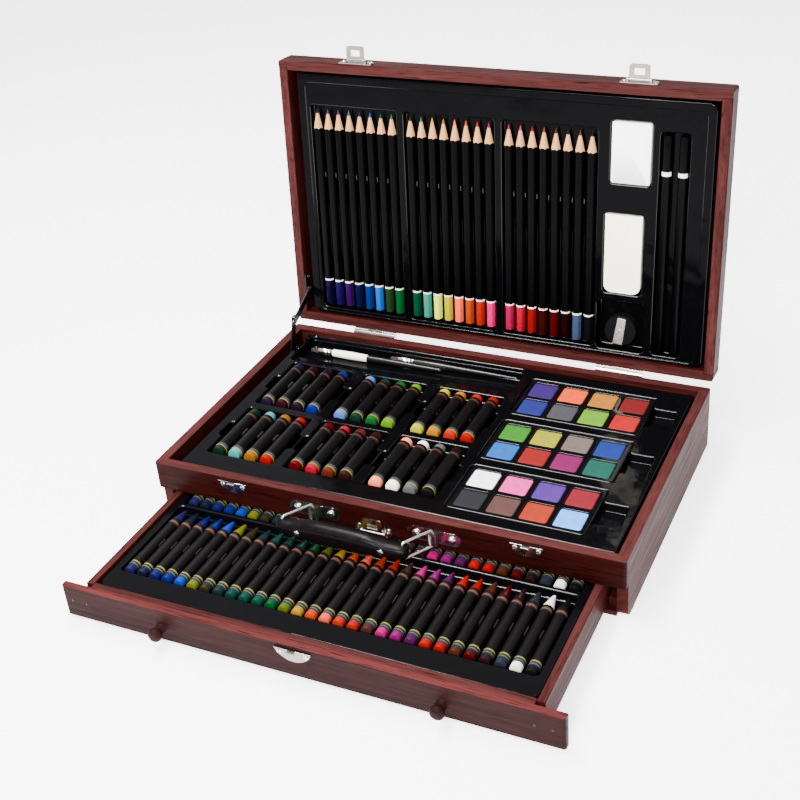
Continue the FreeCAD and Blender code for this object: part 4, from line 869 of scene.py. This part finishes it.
def pastel_pocket(group, start):
    """A pocket for four pastels, with a finger notch at each side."""
    side, length = pastel_notch
    x0 = pastel_first + pastel_group_pitch * group - pastel_pocket_side
    x1 = pastel_first + pastel_group_pitch * group + pastel_pitch * 3 + pastel_pocket_side
    y0 = start - pastel_pocket_end
    y1 = start + pastel_length + pastel_pocket_end
    low = (y0 + y1 - length) / 2
    high = (y0 + y1 + length) / 2
    corners = [(x0, y0), (x1, y0), (x1, low), (x1 + side, low), (x1 + side, high), (x1, high),
               (x1, y1), (x0, y1), (x0, high), (x0 - side, high), (x0 - side, low), (x0, low)]
    return pocket(corners, radius=2.0, floor=pastel_axis - pastel_radius, lip=1.3, foot=1.6)


def palette_pocket(centre):
    """A pocket for a palette, with a shallow place for a thumb beside it."""
    play, thumb_reach, thumb_half = 0.5, 19.7, 13
    width, length = palette_size
    x0, x1 = palette_x - width / 2 - play, palette_x + width / 2 + play
    y0, y1 = centre - length / 2 - play, centre + length / 2 + play
    recess = x1 + thumb_reach
    corners = [(x0, y0), (x1, y0), (x1, centre - thumb_half), (recess, centre - thumb_half),
               (recess, centre + thumb_half), (x1, centre + thumb_half), (x1, y1), (x0, y1)]
    return pocket(corners, radius=2.6, floor=palette_z[0], lip=1.3, foot=0.5, draft=0.0)


def make_base_tray():
    left, right, front, back = -166.0, 36.0, 62.0, 105.0
    inset, gap_half, step = 0.7, 7, 73.0
    corners = [(left + inset, back - inset), (left + inset, step)]
    for gap in (-97.0, -28.8):
        corners += [(gap - gap_half, step), (gap - gap_half, front + inset), (gap + gap_half, front + inset),
                    (gap + gap_half, step)]
    corners += [(right - inset, step), (right - inset, back - inset)]
    deep = pocket(corners, radius=2.4, floor=39.0, lip=0.6, foot=1.6, draft=0.04)
    trough = pocket(rectangle(left, right, front, back), radius=4.0, floor=46.0, lip=1.4, foot=0.5,
                    draft=0.0, inner=[deep])
    pockets = [pastel_pocket(group, start) for group in range(3) for start in pastel_rows]
    pockets += [palette_pocket(centre) for centre in palette_rows] + [trough]
    edge = [(-172, -105), (177, -105), (177, 107.5), (-172, 107.5), (-172, 100), (-168, 100),
            (-168, 78), (-172, 78)]
    shape = formed(edge, tray_top, divider_top, pockets, edge_radius=1.6)
    tray = sheet("base_tray_sheet", shape, tray_black)
    spots = [(pastel_first + pastel_pitch / 2, start + pastel_length / 2, pastel_axis - pastel_radius)
             for start in pastel_rows]
    ribs = ribs_between((1.6, 5.0, 8.2), lip_black, 9, 3, pastel_pitch, pastel_group_pitch, spots)
    dressed(joined("base_tray_formed", [tray] + ribs), None, "case", "tray_plastic", "base_tray")


def make_drawer_tray():
    side, end = 1.6, 2.6
    top, bottom = 27.2, 9.01
    first = crayon_first - crayon_radius - side
    last = crayon_first + crayon_pitch * (crayon_count - 1) + crayon_radius + side
    pockets = [pocket(rectangle(first, last, start - end, start + crayon_length + end), radius=3.5,
                      floor=crayon_axis - crayon_radius, lip=1.2, foot=1.4) for start in crayon_rows]
    edge = rectangle(-165.6, 165.6, -231.2, -29.6)
    tray = sheet("drawer_tray_sheet", formed(edge, top, bottom, pockets, edge_radius=7.0), tray_black)
    spots = [(crayon_first + crayon_pitch / 2, start + crayon_length * 0.47, crayon_axis - crayon_radius)
             for start in crayon_rows]
    ribs = ribs_between((1.0, 5.0, 6.6), lip_black, crayon_count - 1, crayon_count, crayon_pitch, 0.0,
                        spots)
    dressed(joined("drawer_tray_formed", [tray] + ribs), None, "drawer", "tray_plastic", "drawer_tray")


def make_lid_tray():
    floor, deep_floor, sunk = -9.4, -13.5, 0.05
    groups = [pencil_first + pencil_group_pitch * group for group in range(3)]
    inner = [pocket(rectangle(x0, x1, 14.4, y1), radius=3.0, floor=floor, lip=1.0, foot=1.0, draft=0.04)
             for x0, x1, y1 in [(x - 5.2, x - 5.2 + pencil_pitch * 7 + 10.4, 197.7) for x in groups]
             + [(135.6, 158.6, 198.7)]]
    inner += [pocket(rectangle(*sides), radius=3.0, floor=deep_floor, lip=1.4, foot=0.5, draft=0.02)
              for sides in ((97.2, 129.6, 155.0, 205.0), (93.8, 125.4, 63.6, 131.0))]
    inner.append(pocket(rectangle(89.4, 129.4, 13.5, 57.0), radius=4.0, floor=deep_floor, lip=1.4, foot=1.5,
                        draft=0.04))
    panel = pocket(rectangle(-166, 170.5, 11.4, 216.5), radius=5.0, floor=-3.3, lip=0.5, foot=0.3, draft=0.0,
                   inner=inner)
    shape = formed(rectangle(-173, 177.5, 9.0, 223.5), -2.5, lid_floor, [panel], edge_radius=7.0)
    tray = sheet("lid_tray_sheet", shape, lid_black, lid_place)
    ribs = []
    for along, half_length, height, skin in ((88.0, 28.0, 4.2, lid_black), (138.0, 2.5, 6.0, lip_black)):
        starts = [(x + pencil_pitch / 2, along, floor - sunk) for x in groups]
        ribs += ribs_between((0.6, half_length, height), skin, 7, 7, pencil_pitch, 0.0, starts, lid_place)
    dressed(joined("lid_tray_formed", [tray] + ribs), None, "lid", "tray_plastic", "lid_tray")


# Oil pastels, crayons and pencils
def wrapped_row(shape, name, body, slot, layout, colours, depth, glosses, seed):
    """A row of sticks, each in its own colour under the same printed paper; depth darkens the sticks' own
    colours as painted shade.
    """
    row = in_rows(name + "_sticks", shape, stick_paint, *layout, seed=seed)
    paper = (wrapper_cream, wrapper_blue, wrapper, wrapper_rose, wrapper_line)

    def band_colours(number, band):
        own = deeper(paint(*colours[number]), depth)
        return ((own,) + paper)[band], glosses[band]

    dressed(painted(row, band_colours), None, body, slot, name)


def make_pastels():
    tip = pastel_length - 6.4
    profile = scaled(pastel_radius, (0.80, 0), (0.92, 0.35), (0.96, 1.2), (0.96, 4.4), (1, 4.5), (1, 5.3),
                     (1, 6.6), (1, 7.0), (1, 8.4), (1, tip - 5.2), (1, tip - 2.8), (1, tip - 0.1))
    profile += scaled(pastel_tip_radius, (1.06, tip), (1.04, tip + 4.2), (0.9, tip + 5.7),
                      (0.5, pastel_length))
    bands = [(4.45, 0), (5.3, 1), (6.6, 2), (7.0, 5), (8.4, 2), (tip - 5.2, 3), (tip - 2.8, 4),
             (tip - 0.05, 3), (99, 0)]
    shape = stick_pattern("pastel shape", profile, 28, bands)
    for start, name, colours, seed in ((pastel_rows[0], "pastels_back_row", pastel_back_colours, 3),
                                       (pastel_rows[1], "pastels_front_row", pastel_front_colours, 4)):
        layout = (12, 4, pastel_pitch, pastel_group_pitch, (pastel_first, start, pastel_axis))
        wrapped_row(shape, name, "case", "pastel_stick", layout, colours, 1.0,
                    (0.34, 0.4, 0.36, 0.38, 0.4, 0.4), seed)


def make_crayons():
    shaft = crayon_length - crayon_cone
    profile = scaled(crayon_radius, (0.8, 0), (0.93, 0.3), (0.955, 1.0), (0.955, 4.9), (1, 5.0), (1, 6.2),
                     (1, 6.8), (1, 8.6), (1, 9.7), (1, shaft - 6.4), (1, shaft - 5.0), (1, shaft - 4.5),
                     (1, shaft - 3.1), (1, shaft - 1.0), (0.955, shaft - 0.95), (0.955, shaft))
    profile += [(1.35, crayon_length - 0.9), (0.9, crayon_length)]
    bands = [(4.95, 0), (6.2, 2), (6.8, 5), (8.6, 2), (9.7, 1), (shaft - 6.4, 3), (shaft - 5.0, 4),
             (shaft - 4.5, 5), (shaft - 3.1, 4), (shaft - 0.97, 3), (99, 0)]
    shape = stick_pattern("crayon shape", profile, 24, bands)
    for start, name, seed in zip(crayon_rows, ("crayons_front_row", "crayons_back_row"), (5, 6)):
        layout = (crayon_count, crayon_count, crayon_pitch, 0.0, (crayon_first, start, crayon_axis))
        # The crayons' own colours are darkened to 0.7: painted shade over the drawer's contents under the
        # case.
        wrapped_row(shape, name, "drawer", "crayon_stick", layout, crayon_colours, 0.7,
                    (0.38, 0.45, 0.4, 0.42, 0.42, 0.4), seed)


def six_sided(turn, apothem):
    """Distance to the side of a six-sided barrel with rounded corners, flat on top."""
    softness = 0.93
    part = (turn + pi / 6) % (pi / 3) - pi / 6
    corner = apothem / cos(pi / 6)
    return min(apothem / cos(part), corner * (softness + (1 - softness) * 0.35))


def pencil_mesh(length):
    """A pencil along Y: dipped end, barrel, scalloped end of the lacquer, wooden cone and lead."""
    sides, lead, tip, scallop = 36, 1.15, 0.22, 0.45
    dip_end, ring_end = 22.4, 23.8
    dip_band, ring_band, barrel_band, cone_band, lead_band = range(5)
    widest = pencil_radius / cos(pi / 6)
    angles = [tau * i / sides for i in range(sides)]
    radii = [six_sided(a + pi / 2, pencil_radius) for a in angles]
    shoulder = [length - pencil_cone * (1 - scallop * (widest - r) / widest) for r in radii]
    lead_along = length - (lead - tip) / ((widest - tip) / pencil_cone)
    stations = [([along] * sides, [r * scale for r in radii])
                for scale, along in ((0.80, 0), (0.94, 0.3), (1.0, 0.9), (1.0, dip_end), (1.0, ring_end))]
    stations.append((shoulder, radii))
    stations += [([s + (lead_along - s) * share for s in shoulder], [r + (lead - r) * share for r in radii])
                 for share in (0.5, 1.0)]
    stations += [([length - 0.15] * sides, [tip] * sides), ([length] * sides, [tip * 0.5] * sides)]
    verts = []
    rings = [add_ring(verts, [(r * cos(a), y, r * sin(a))
                              for a, y, r in zip(angles, along, reach)]) for along, reach in stations]
    marks = [dip_band] * 3 + [ring_band, barrel_band] + [cone_band] * 2 + [lead_band] * 2
    bands = [mark for mark in marks for _ in range(sides)] + [dip_band, lead_band]
    return verts, [tuple(reversed(f)) for f in rings_to_faces(rings)], bands


def make_pencils():
    verts, faces, bands = pencil_mesh(pencil_span[1] - pencil_span[0])
    shape = pattern("pencil shape", verts, faces, smooth=28.0)
    shape.data.attributes.new("band", "INT", "FACE").data.foreach_set("value", bands)
    row = in_rows("coloured_pencils_set", shape, pencil_paint, 24, 8, pencil_pitch, pencil_group_pitch,
                  (pencil_first, pencil_span[0], pencil_axis), lid_place, roll=0.0, seed=7)

    def band_colours(number, band):
        looks = ((paint(*pencil_ends[number]), 0.25), (lacquer_white, 0.3), (lacquer_black, 0.36),
                 (wood_cream, 0.62), (paint(*pencil_leads[number]), 0.5))
        return looks[band]

    dressed(painted(row, band_colours), None, "lid", "pencil_lacquer", "coloured_pencils")

    (low, high), (left, right) = drawing_pencil_span, drawing_pencil_x
    end, band_from, band_to = high - low, 148.4, 151.6
    profile = scaled(pencil_radius, (0.82, 0), (0.95, 0.35), (1, 1.0), (1, band_from), (1, band_to),
                     (1, end - 1.0), (0.95, end - 0.35), (0.8, end))
    shape = stick_pattern("drawing pencil shape", profile, 32, [(band_from, 0), (band_to, 1), (999, 0)])
    both = in_rows("drawing_pencils_pair", shape, pencil_paint, 2, 2, right - left, 0.0,
                   (left, low, pencil_axis), lid_place, seed=8)
    dressed(painted(both, lambda number, band: ((lacquer_black, 0.32), (lacquer_white, 0.35))[band]), None,
            "lid", "pencil_lacquer", "drawing_pencils")


# Paint palettes and cakes
def cushion(half, low, high, corner, crown):
    """A square pan of pressed paint, rounded at its edge and a little hollow on top."""
    corners = rectangle(-half, half, -half, half)
    verts = []
    rings = [add_ring(verts, [(p.x, p.y, height) for p in outline(corners, corner, offset, 4)])
             for offset, height in ((0, low), (0, high - 0.5), (-0.2, high - 0.15), (-0.6, high),
                                    (-3.0, high - crown), (-6.5, high - crown * 1.4))]
    return verts, [tuple(reversed(f)) for f in rings_to_faces(rings)]


def make_palettes():
    bodies, cakes = [], []
    width, depth = palette_size
    across, along = cake_pitch
    half = well_side / 2
    cake_height, deep_colour, deep_share = 3.6, 0.4, 0.78
    pressed = cushion(cake_side / 2, well_floor, well_floor + cake_height, corner=1.8, crown=0.12)
    shape = pattern("cake shape", *pressed, mend=True)
    shape.data.attributes.new("band", "INT", "FACE")
    for centre, colours in zip(palette_rows, cake_colours):
        middles = [(palette_x + across * (column - 1.5), centre + line * along / 2)
                   for column in range(4) for line in (-1, 1)]
        wells = [pocket(rectangle(x - half, x + half, y - half, y + half), radius=2.2, floor=well_floor,
                        lip=0.55, foot=0.3, draft=0.0) for x, y in middles]
        edge = rectangle(palette_x - width / 2, palette_x + width / 2,
                         centre - depth / 2, centre + depth / 2)
        moulded = formed(edge, palette_z[1], palette_z[0], wells, edge_radius=3.0, skin=0, lip=0.9)
        bodies.append(sheet("palette body", moulded, palette_black))
        for line, first in ((-1, 1), (1, 0)):
            start = (palette_x - across * 1.5, centre + line * along / 2, 0)
            four = in_rows("cakes", shape, cake_paint, 4, 4, across, 0.0, start, roll=0.0)
            shades = [paint(*colour) for colour in colours[first::2]]
            cakes.append(painted(four, lambda number, band: (
                tuple(c * (deep_share if c < deep_colour else 1) for c in shades[number]), 0.75)))
    dressed(joined("paint_palettes_moulded", bodies), None, "case", "palette_plastic", "paint_palettes")
    dressed(joined("paint_cakes_pressed", cakes), None, "case", "paint_cake", "paint_cakes")


# Erasers and sharpener
def make_erasers_and_sharpener():
    for name, surface_used, slot in (("eraser_white", white_rubber, "white_rubber"),
                                     ("eraser_cream", cream_rubber, "cream_rubber")):
        piece = softened(name, name + "_rubber", width=1.5, least=1.0, segments=4, crease=50.0)
        dressed(piece, surface_used, "lid", slot, name)
    body = softened("sharpener_case", "sharpener_case_round", width=0.5, least=0.5, segments=3)
    dressed(body, sharpener_black, "lid", "sharpener_plastic", "sharpener_case")
    block = softened("sharpener_blade", "sharpener_block", width=0.25, least=0.5)
    dressed(block, block_metal, "lid", "aluminium_block", "sharpener_blade")


# Brushes
def hair_spots(start, y, z, radius, seed):
    """Where each hair leaves the ferrule, a little splayed, and shorter towards the outside."""
    draw = random.Random(seed)
    hairs, sunk, inner, splay = 90, 13.4, radius - 0.75, 0.045
    spots = []
    for _ in range(hairs):
        reach = inner * sqrt(draw.random())
        turn = draw.random() * tau
        dy, dz = reach * cos(turn), reach * sin(turn)
        spots.append(((start - sunk, y + dy, z + dz), Vector((-1, -dy * splay, -dz * splay)), 0.0,
                      0.95 - 0.12 * reach / radius))
    return spots


def make_brushes():
    trough_floor, dip_and_highlight_share = 39.0, 0.34
    handles, ferrules, hairs = [], [], []
    strand = pattern("hair shape", *lathe([(0.07, 0), (0.09, 3.0), (0.07, 7.0), (0.015, 10.0)], 5), stood_up)
    # Brush A's white first third is painted highlight, standing in for a bright reflection along its
    # ferrule; brush B's darker dip is two-tone paint.
    for index, (start, y, radius, tail, length, dip_and_highlight) in enumerate((
            (-140.5, 94.0, 3.4, 1.6, 104.0, (236, 234, 228)), (-66.0, 101.3, 3.0, 1.1, 96.0, (58, 52, 50)))):
        z = trough_floor + radius
        stations = scaled(radius, (0.93, 0), (1, length * 0.1), (1, length * 0.2), (0.86, length * 0.42))
        stations.append((tail + (radius - tail) * 0.4, length * 0.7))
        stations += scaled(tail, (1.05, length * 0.94), (0.95, length * 0.985), (0.3, length))
        along_x, other_way = (Matrix.Translation((start, y, z)) @ Matrix.Rotation(turn, 4, "Z")
                              for turn in (-QUARTER, QUARTER))
        handle = finished("handle", *lathe(flowing(stations, 5), 24), along_x, smooth=45.0)
        dip_end = start + length * dip_and_highlight_share
        tinted(handle.data, lambda face: (
            paint(*dip_and_highlight) if face.center.x / MM < dip_end else paint(40, 36, 35), 0.2))
        handles.append(clad(handle, brush_paint))
        ferrule = scaled(radius, (0.99, 0), (1, 0.4), (1, 2.2), (0.93, 2.6), (0.93, 3.0), (1, 3.4), (1, 4.8),
                         (0.93, 5.2), (0.93, 5.6), (1, 6.0), (0.97, 10.5), (0.9, 14.0))
        ferrules.append(clad(finished("collar", *lathe(ferrule, 24), other_way), nickel))
        hairs.append(on_points("hairs", strand, hair_brown, hair_spots(start, y, z, radius, 20 + index)))
    dressed(joined("brush_handles_turned", handles), None, "case", "brush_lacquer", "brush_handles")
    dressed(joined("brush_ferrules_crimped", ferrules), None, "case", "nickel", "brush_ferrules")
    dressed(joined("brush_hair", hairs), None, "case", "brush_hair", "brush_tips")


# Metal fittings
def make_fittings():
    for surface_used, body, names in (
            (nickel, "case", ("case_catches", "drawer_latch_base", "case_hinge_leaves", "handle_brackets")),
            # The lid latches, their flaps and the drawer catch take the darker nickel: painted shade.
            (shaded_nickel, "lid", ("lid_latch_bases",)), (nickel, "lid", ("lid_hinge_leaves",)),
            (shaded_nickel, "lid_flap_left", ("lid_flap_left",)),
            (shaded_nickel, "lid_flap_right", ("lid_flap_right",)),
            (nickel, "drawer_flap", ("drawer_flap",)), (shaded_nickel, "drawer", ("drawer_catch",)),
            (black_steel, "case", ("stay_case_plate",)), (black_steel, "lid", ("stay_lid_plate",)),
            (black_steel, "stay_lower_link", ("stay_lower_link",)),
            (black_steel, "stay_upper_link", ("stay_upper_link",))):
        slot = "black_steel" if surface_used is black_steel else "nickel"
        for name in names:
            piece = softened(name, name + "_pressed", width=0.18, least=0.9)
            dressed(piece, surface_used, body, slot, name)


def cross_head():
    """A low domed screw head with a cross cut in it, facing +Z."""
    radius, height, rim, cut_depth = 1.9, 0.8, 0.3, 0.42
    cut_half, cut_reach = 0.12, 0.62
    cuts = [-1.0, -0.72, -cut_reach, -0.2, -cut_half, cut_half, 0.2, cut_reach, 0.72, 1.0]
    verts = []
    count = len(cuts)
    for v in cuts:
        for u in cuts:
            x = u * sqrt(1 - v * v / 2)
            y = v * sqrt(1 - u * u / 2)
            r = min(hypot(x, y), 1.0)
            z = rim + (height - rim) * sqrt(max(1 - r * r, 0))
            cut = min(abs(u), abs(v)) <= cut_half and max(abs(u), abs(v)) <= cut_reach
            verts.append((x * radius, y * radius, z - (cut_depth if cut else 0)))
    faces = [(a, a + 1, a + count + 1, a + count)
             for a in (j * count + i for j in range(count - 1) for i in range(count - 1))]
    edge = list(range(count)) + [j * count + count - 1 for j in range(1, count)]
    edge += [(count - 1) * count + i for i in range(count - 2, -1, -1)]
    edge += [j * count for j in range(count - 2, 0, -1)]
    foot = add_ring(verts, [(verts[i][0], verts[i][1], 0) for i in edge])
    for k in range(len(edge)):
        m = (k + 1) % len(edge)
        faces.append((edge[m], edge[k], foot[k], foot[m]))
    faces.append(tuple(reversed(foot)))
    return verts, faces


def spread(places, facing, seed):
    """Places with the way they face, each with its own spin."""
    draw = random.Random(seed)
    return [(place, facing, draw.random() * tau, 1.0) for place in places]


def fours(middle, apart, y, z):
    """Two places beside each of two middles, left and right."""
    return [(side * middle + end * apart, y, z) for side in (-1, 1) for end in (-1, 1)]


def twos(apart, y, z):
    """Two places beside the middle."""
    return [(end * apart, y, z) for end in (-1, 1)]


def set_heads(name, shape, surface_used, spots, body, slot, *nodes):
    dressed(on_points(name, shape, surface_used, spots), None, body, slot, *nodes)


def make_screws():
    head = pattern("screw shape", *cross_head(), smooth=40.0, mend=True)
    plate, leaf, dome_stand = 0.8, 1.1, 0.9
    catch_apart, latch_apart, drawer_apart, leaf_apart, bracket_apart = 8.6, 11.9, 10.1, 12.5, 13.7
    catch_z, latch_z, drawer_catch_z, lid_latch_z, leaf_drop = 46.6, 35.7, 23.1, -6.2, 7.5
    stay_x, inward = -179.0, (1, 0, 0)
    brad_middle, brad_apart, brad_z = 174.0, 6.0, 17.5
    free_edge = lid_place.to_3x3() @ Vector((0, 1, 0))
    case_heads = fours(catch_x, catch_apart, front_face - plate, catch_z)
    case_heads += twos(latch_apart, front_face - plate, latch_z)
    case_spots = spread(case_heads, facing_front, 31)
    case_spots += spread(fours(hinge_x, leaf_apart, back_face + leaf, hinge_z - leaf_drop),
                         (0, 1, 0), 32)
    case_spots += spread([(stay_x, 97.0, 40.0)], inward, 33)
    lid_spots = []
    for heads, facing, seed in ((fours(catch_x, latch_apart, lid_length + plate, lid_latch_z),
                                 free_edge, 34),
                                (fours(hinge_x, leaf_apart, -leaf, -leaf_drop), -free_edge, 35),
                                ([(stay_x, 40.0, -6.0)], inward, 36)):
        lid_spots += spread([lid_place @ Vector(place) for place in heads], facing, seed)
    drawer_spots = spread(twos(drawer_apart, drawer_face - plate, drawer_catch_z), facing_front, 37)
    for name, spots, body in (("case_screws", case_spots, "case"), ("lid_screws", lid_spots, "lid"),
                              ("drawer_screws", drawer_spots, "drawer")):
        set_heads(name + "_heads", head, nickel, spots, body, "nickel", name)

    dome_profile = [(3.2, 0), (3.2, 0.5), (3.05, 1.0), (2.5, 1.6), (1.5, 2.1), (0.5, 2.3)]
    dome = pattern("dome shape", *lathe(dome_profile, 24), stood_up)
    domes = spread(fours(bracket_x, bracket_apart, front_face - dome_stand, bracket_z), facing_front, 38)
    set_heads("bracket_screws_domed", dome, nickel, domes, "case", "nickel", "bracket_screws")
    brad = pattern("brad shape", *lathe([(0.9, 0.0), (0.9, 0.12), (0.6, 0.3), (0.2, 0.36)], 12), stood_up)
    brads = spread(fours(brad_middle, brad_apart, drawer_face, brad_z), facing_front, 39)
    set_heads("drawer_front_brads", brad, black_steel, brads, "drawer", "black_steel")


def ring_mesh():
    """A closed oblong of round wire, one end on the pivot and the other in the grip."""
    wire, half, length, corner, sides = 1.2, 7.0, 25.1, 1.5, 14
    near, far, high = -corner, corner - length, half - corner
    verts, rings = [], []
    for along, rise, begin in ((near, -high, -90), (near, high, 0), (far, high, 90), (far, -high, 180)):
        for k in range(7):
            turn = radians(begin + 15 * k)
            out = Vector((0, cos(turn), sin(turn)))
            middle = Vector((0, along, rise)) + out * corner
            angles = [tau * i / sides for i in range(sides)]
            rings.append(add_ring(verts, [
                middle + out * wire * cos(a) + Vector((1, 0, 0)) * wire * sin(a) for a in angles]))
    return verts, rings_to_faces(rings, loop=True)


def grip_mesh():
    """A swelling grip along X, four-square with rounded edges, pinched where its seam runs below."""
    half_length, half_height, half_thickness = 52.3, 8.8, 7.2
    squareness, seam_depth, seam_width, sides = 2.4, 0.035, 7.0, 40
    shares = ((1.0, 0.30, 0.38), (0.992, 0.44, 0.58), (0.964, 0.545, 0.778), (0.889, 0.619, 0.917),
              (0.717, 0.66, 0.972), (0.58, 0.78, 0.99), (0.421, 0.943, 1.0), (0.2, 0.995, 1.0),
              (0.0, 1.0, 1.0))
    stations = [(-x, h, t) for x, h, t in shares] + list(shares[-2::-1])
    verts, rings = [], []
    for x, h, t in flowing(stations, 4):
        points = []
        for k in range(sides):
            a = tau * k / sides
            c, s = cos(a), sin(a)
            square = (abs(c) ** squareness + abs(s) ** squareness) ** (-1 / squareness)
            seam = 1.0 - seam_depth * exp(-((c * seam_width) ** 2)) if s < 0 else 1.0
            points.append((x * half_length, s * square * half_thickness * min(t, 1.0) * seam,
                           c * square * half_height * min(h, 1.0)))
        rings.append(add_ring(verts, points))
    return verts, rings_to_faces(rings)


def make_handle():
    hang_angle, ring_stand, rivet_stand, rivets_x = radians(-33.3), 2.6, 6.2, (-47.3, 19.7)
    hanging = Matrix.Rotation(hang_angle, 4, "Z")
    for name, side in (("handle_ring_left", -1), ("handle_ring_right", 1)):
        place = Matrix.Translation((side * bracket_x, front_face - ring_stand, bracket_z)) @ hanging
        dressed(finished(name + "_wire", *ring_mesh(), place, mend=True), nickel, name, "nickel", name)
    centre = Vector((-13.78, -140.58, bracket_z))
    grip = finished("grip_body", *grip_mesh(), Matrix.Translation(centre), smooth=50.0, mend=True)
    dressed(grip, grip_vinyl, "grip", "grip_vinyl", "handle_grip")
    rivet_profile = [(2.7, 0), (2.65, 0.4), (2.1, 0.95), (1.1, 1.25), (0.4, 1.3)]
    rivet = pattern("rivet shape", *lathe(rivet_profile, 20), stood_up)
    spots = []
    for x in rivets_x:
        for side in (-1, 1):
            spots += spread([(x, centre.y + side * rivet_stand, centre.z)], (0, side, 0), 40)
    set_heads("grip_rivets_domed", rivet, nickel, spots, "grip", "nickel", "grip_rivets")


def make_knobs():
    profile = flowing([(4.5, 0), (4.1, 0.6), (3.6, 3.1), (4.4, 5.2), (5.25, 6.8), (5.25, 8.2), (4.5, 9.8),
                       (2.7, 10.8), (0.5, 11.0)], 4)
    shape = pattern("knob shape", *lathe(profile, 32), stood_up)
    spots = [(place, facing_front, 0.0, 1.0) for place in twos(knob_x, drawer_face, knob_z)]
    set_heads("drawer_knobs_turned", shape, wood_face, spots, "drawer", "stained_wood", "drawer_knobs")


for step in (set_camera, set_light, set_floor, make_boards, dress_nodes, make_base_tray, make_drawer_tray,
             make_lid_tray, make_pastels, make_crayons, make_pencils, make_palettes,
             make_erasers_and_sharpener, make_brushes, make_fittings, make_screws, make_handle, make_knobs):
    step()
for shape in patterns:
    bpy.data.objects.remove(shape)
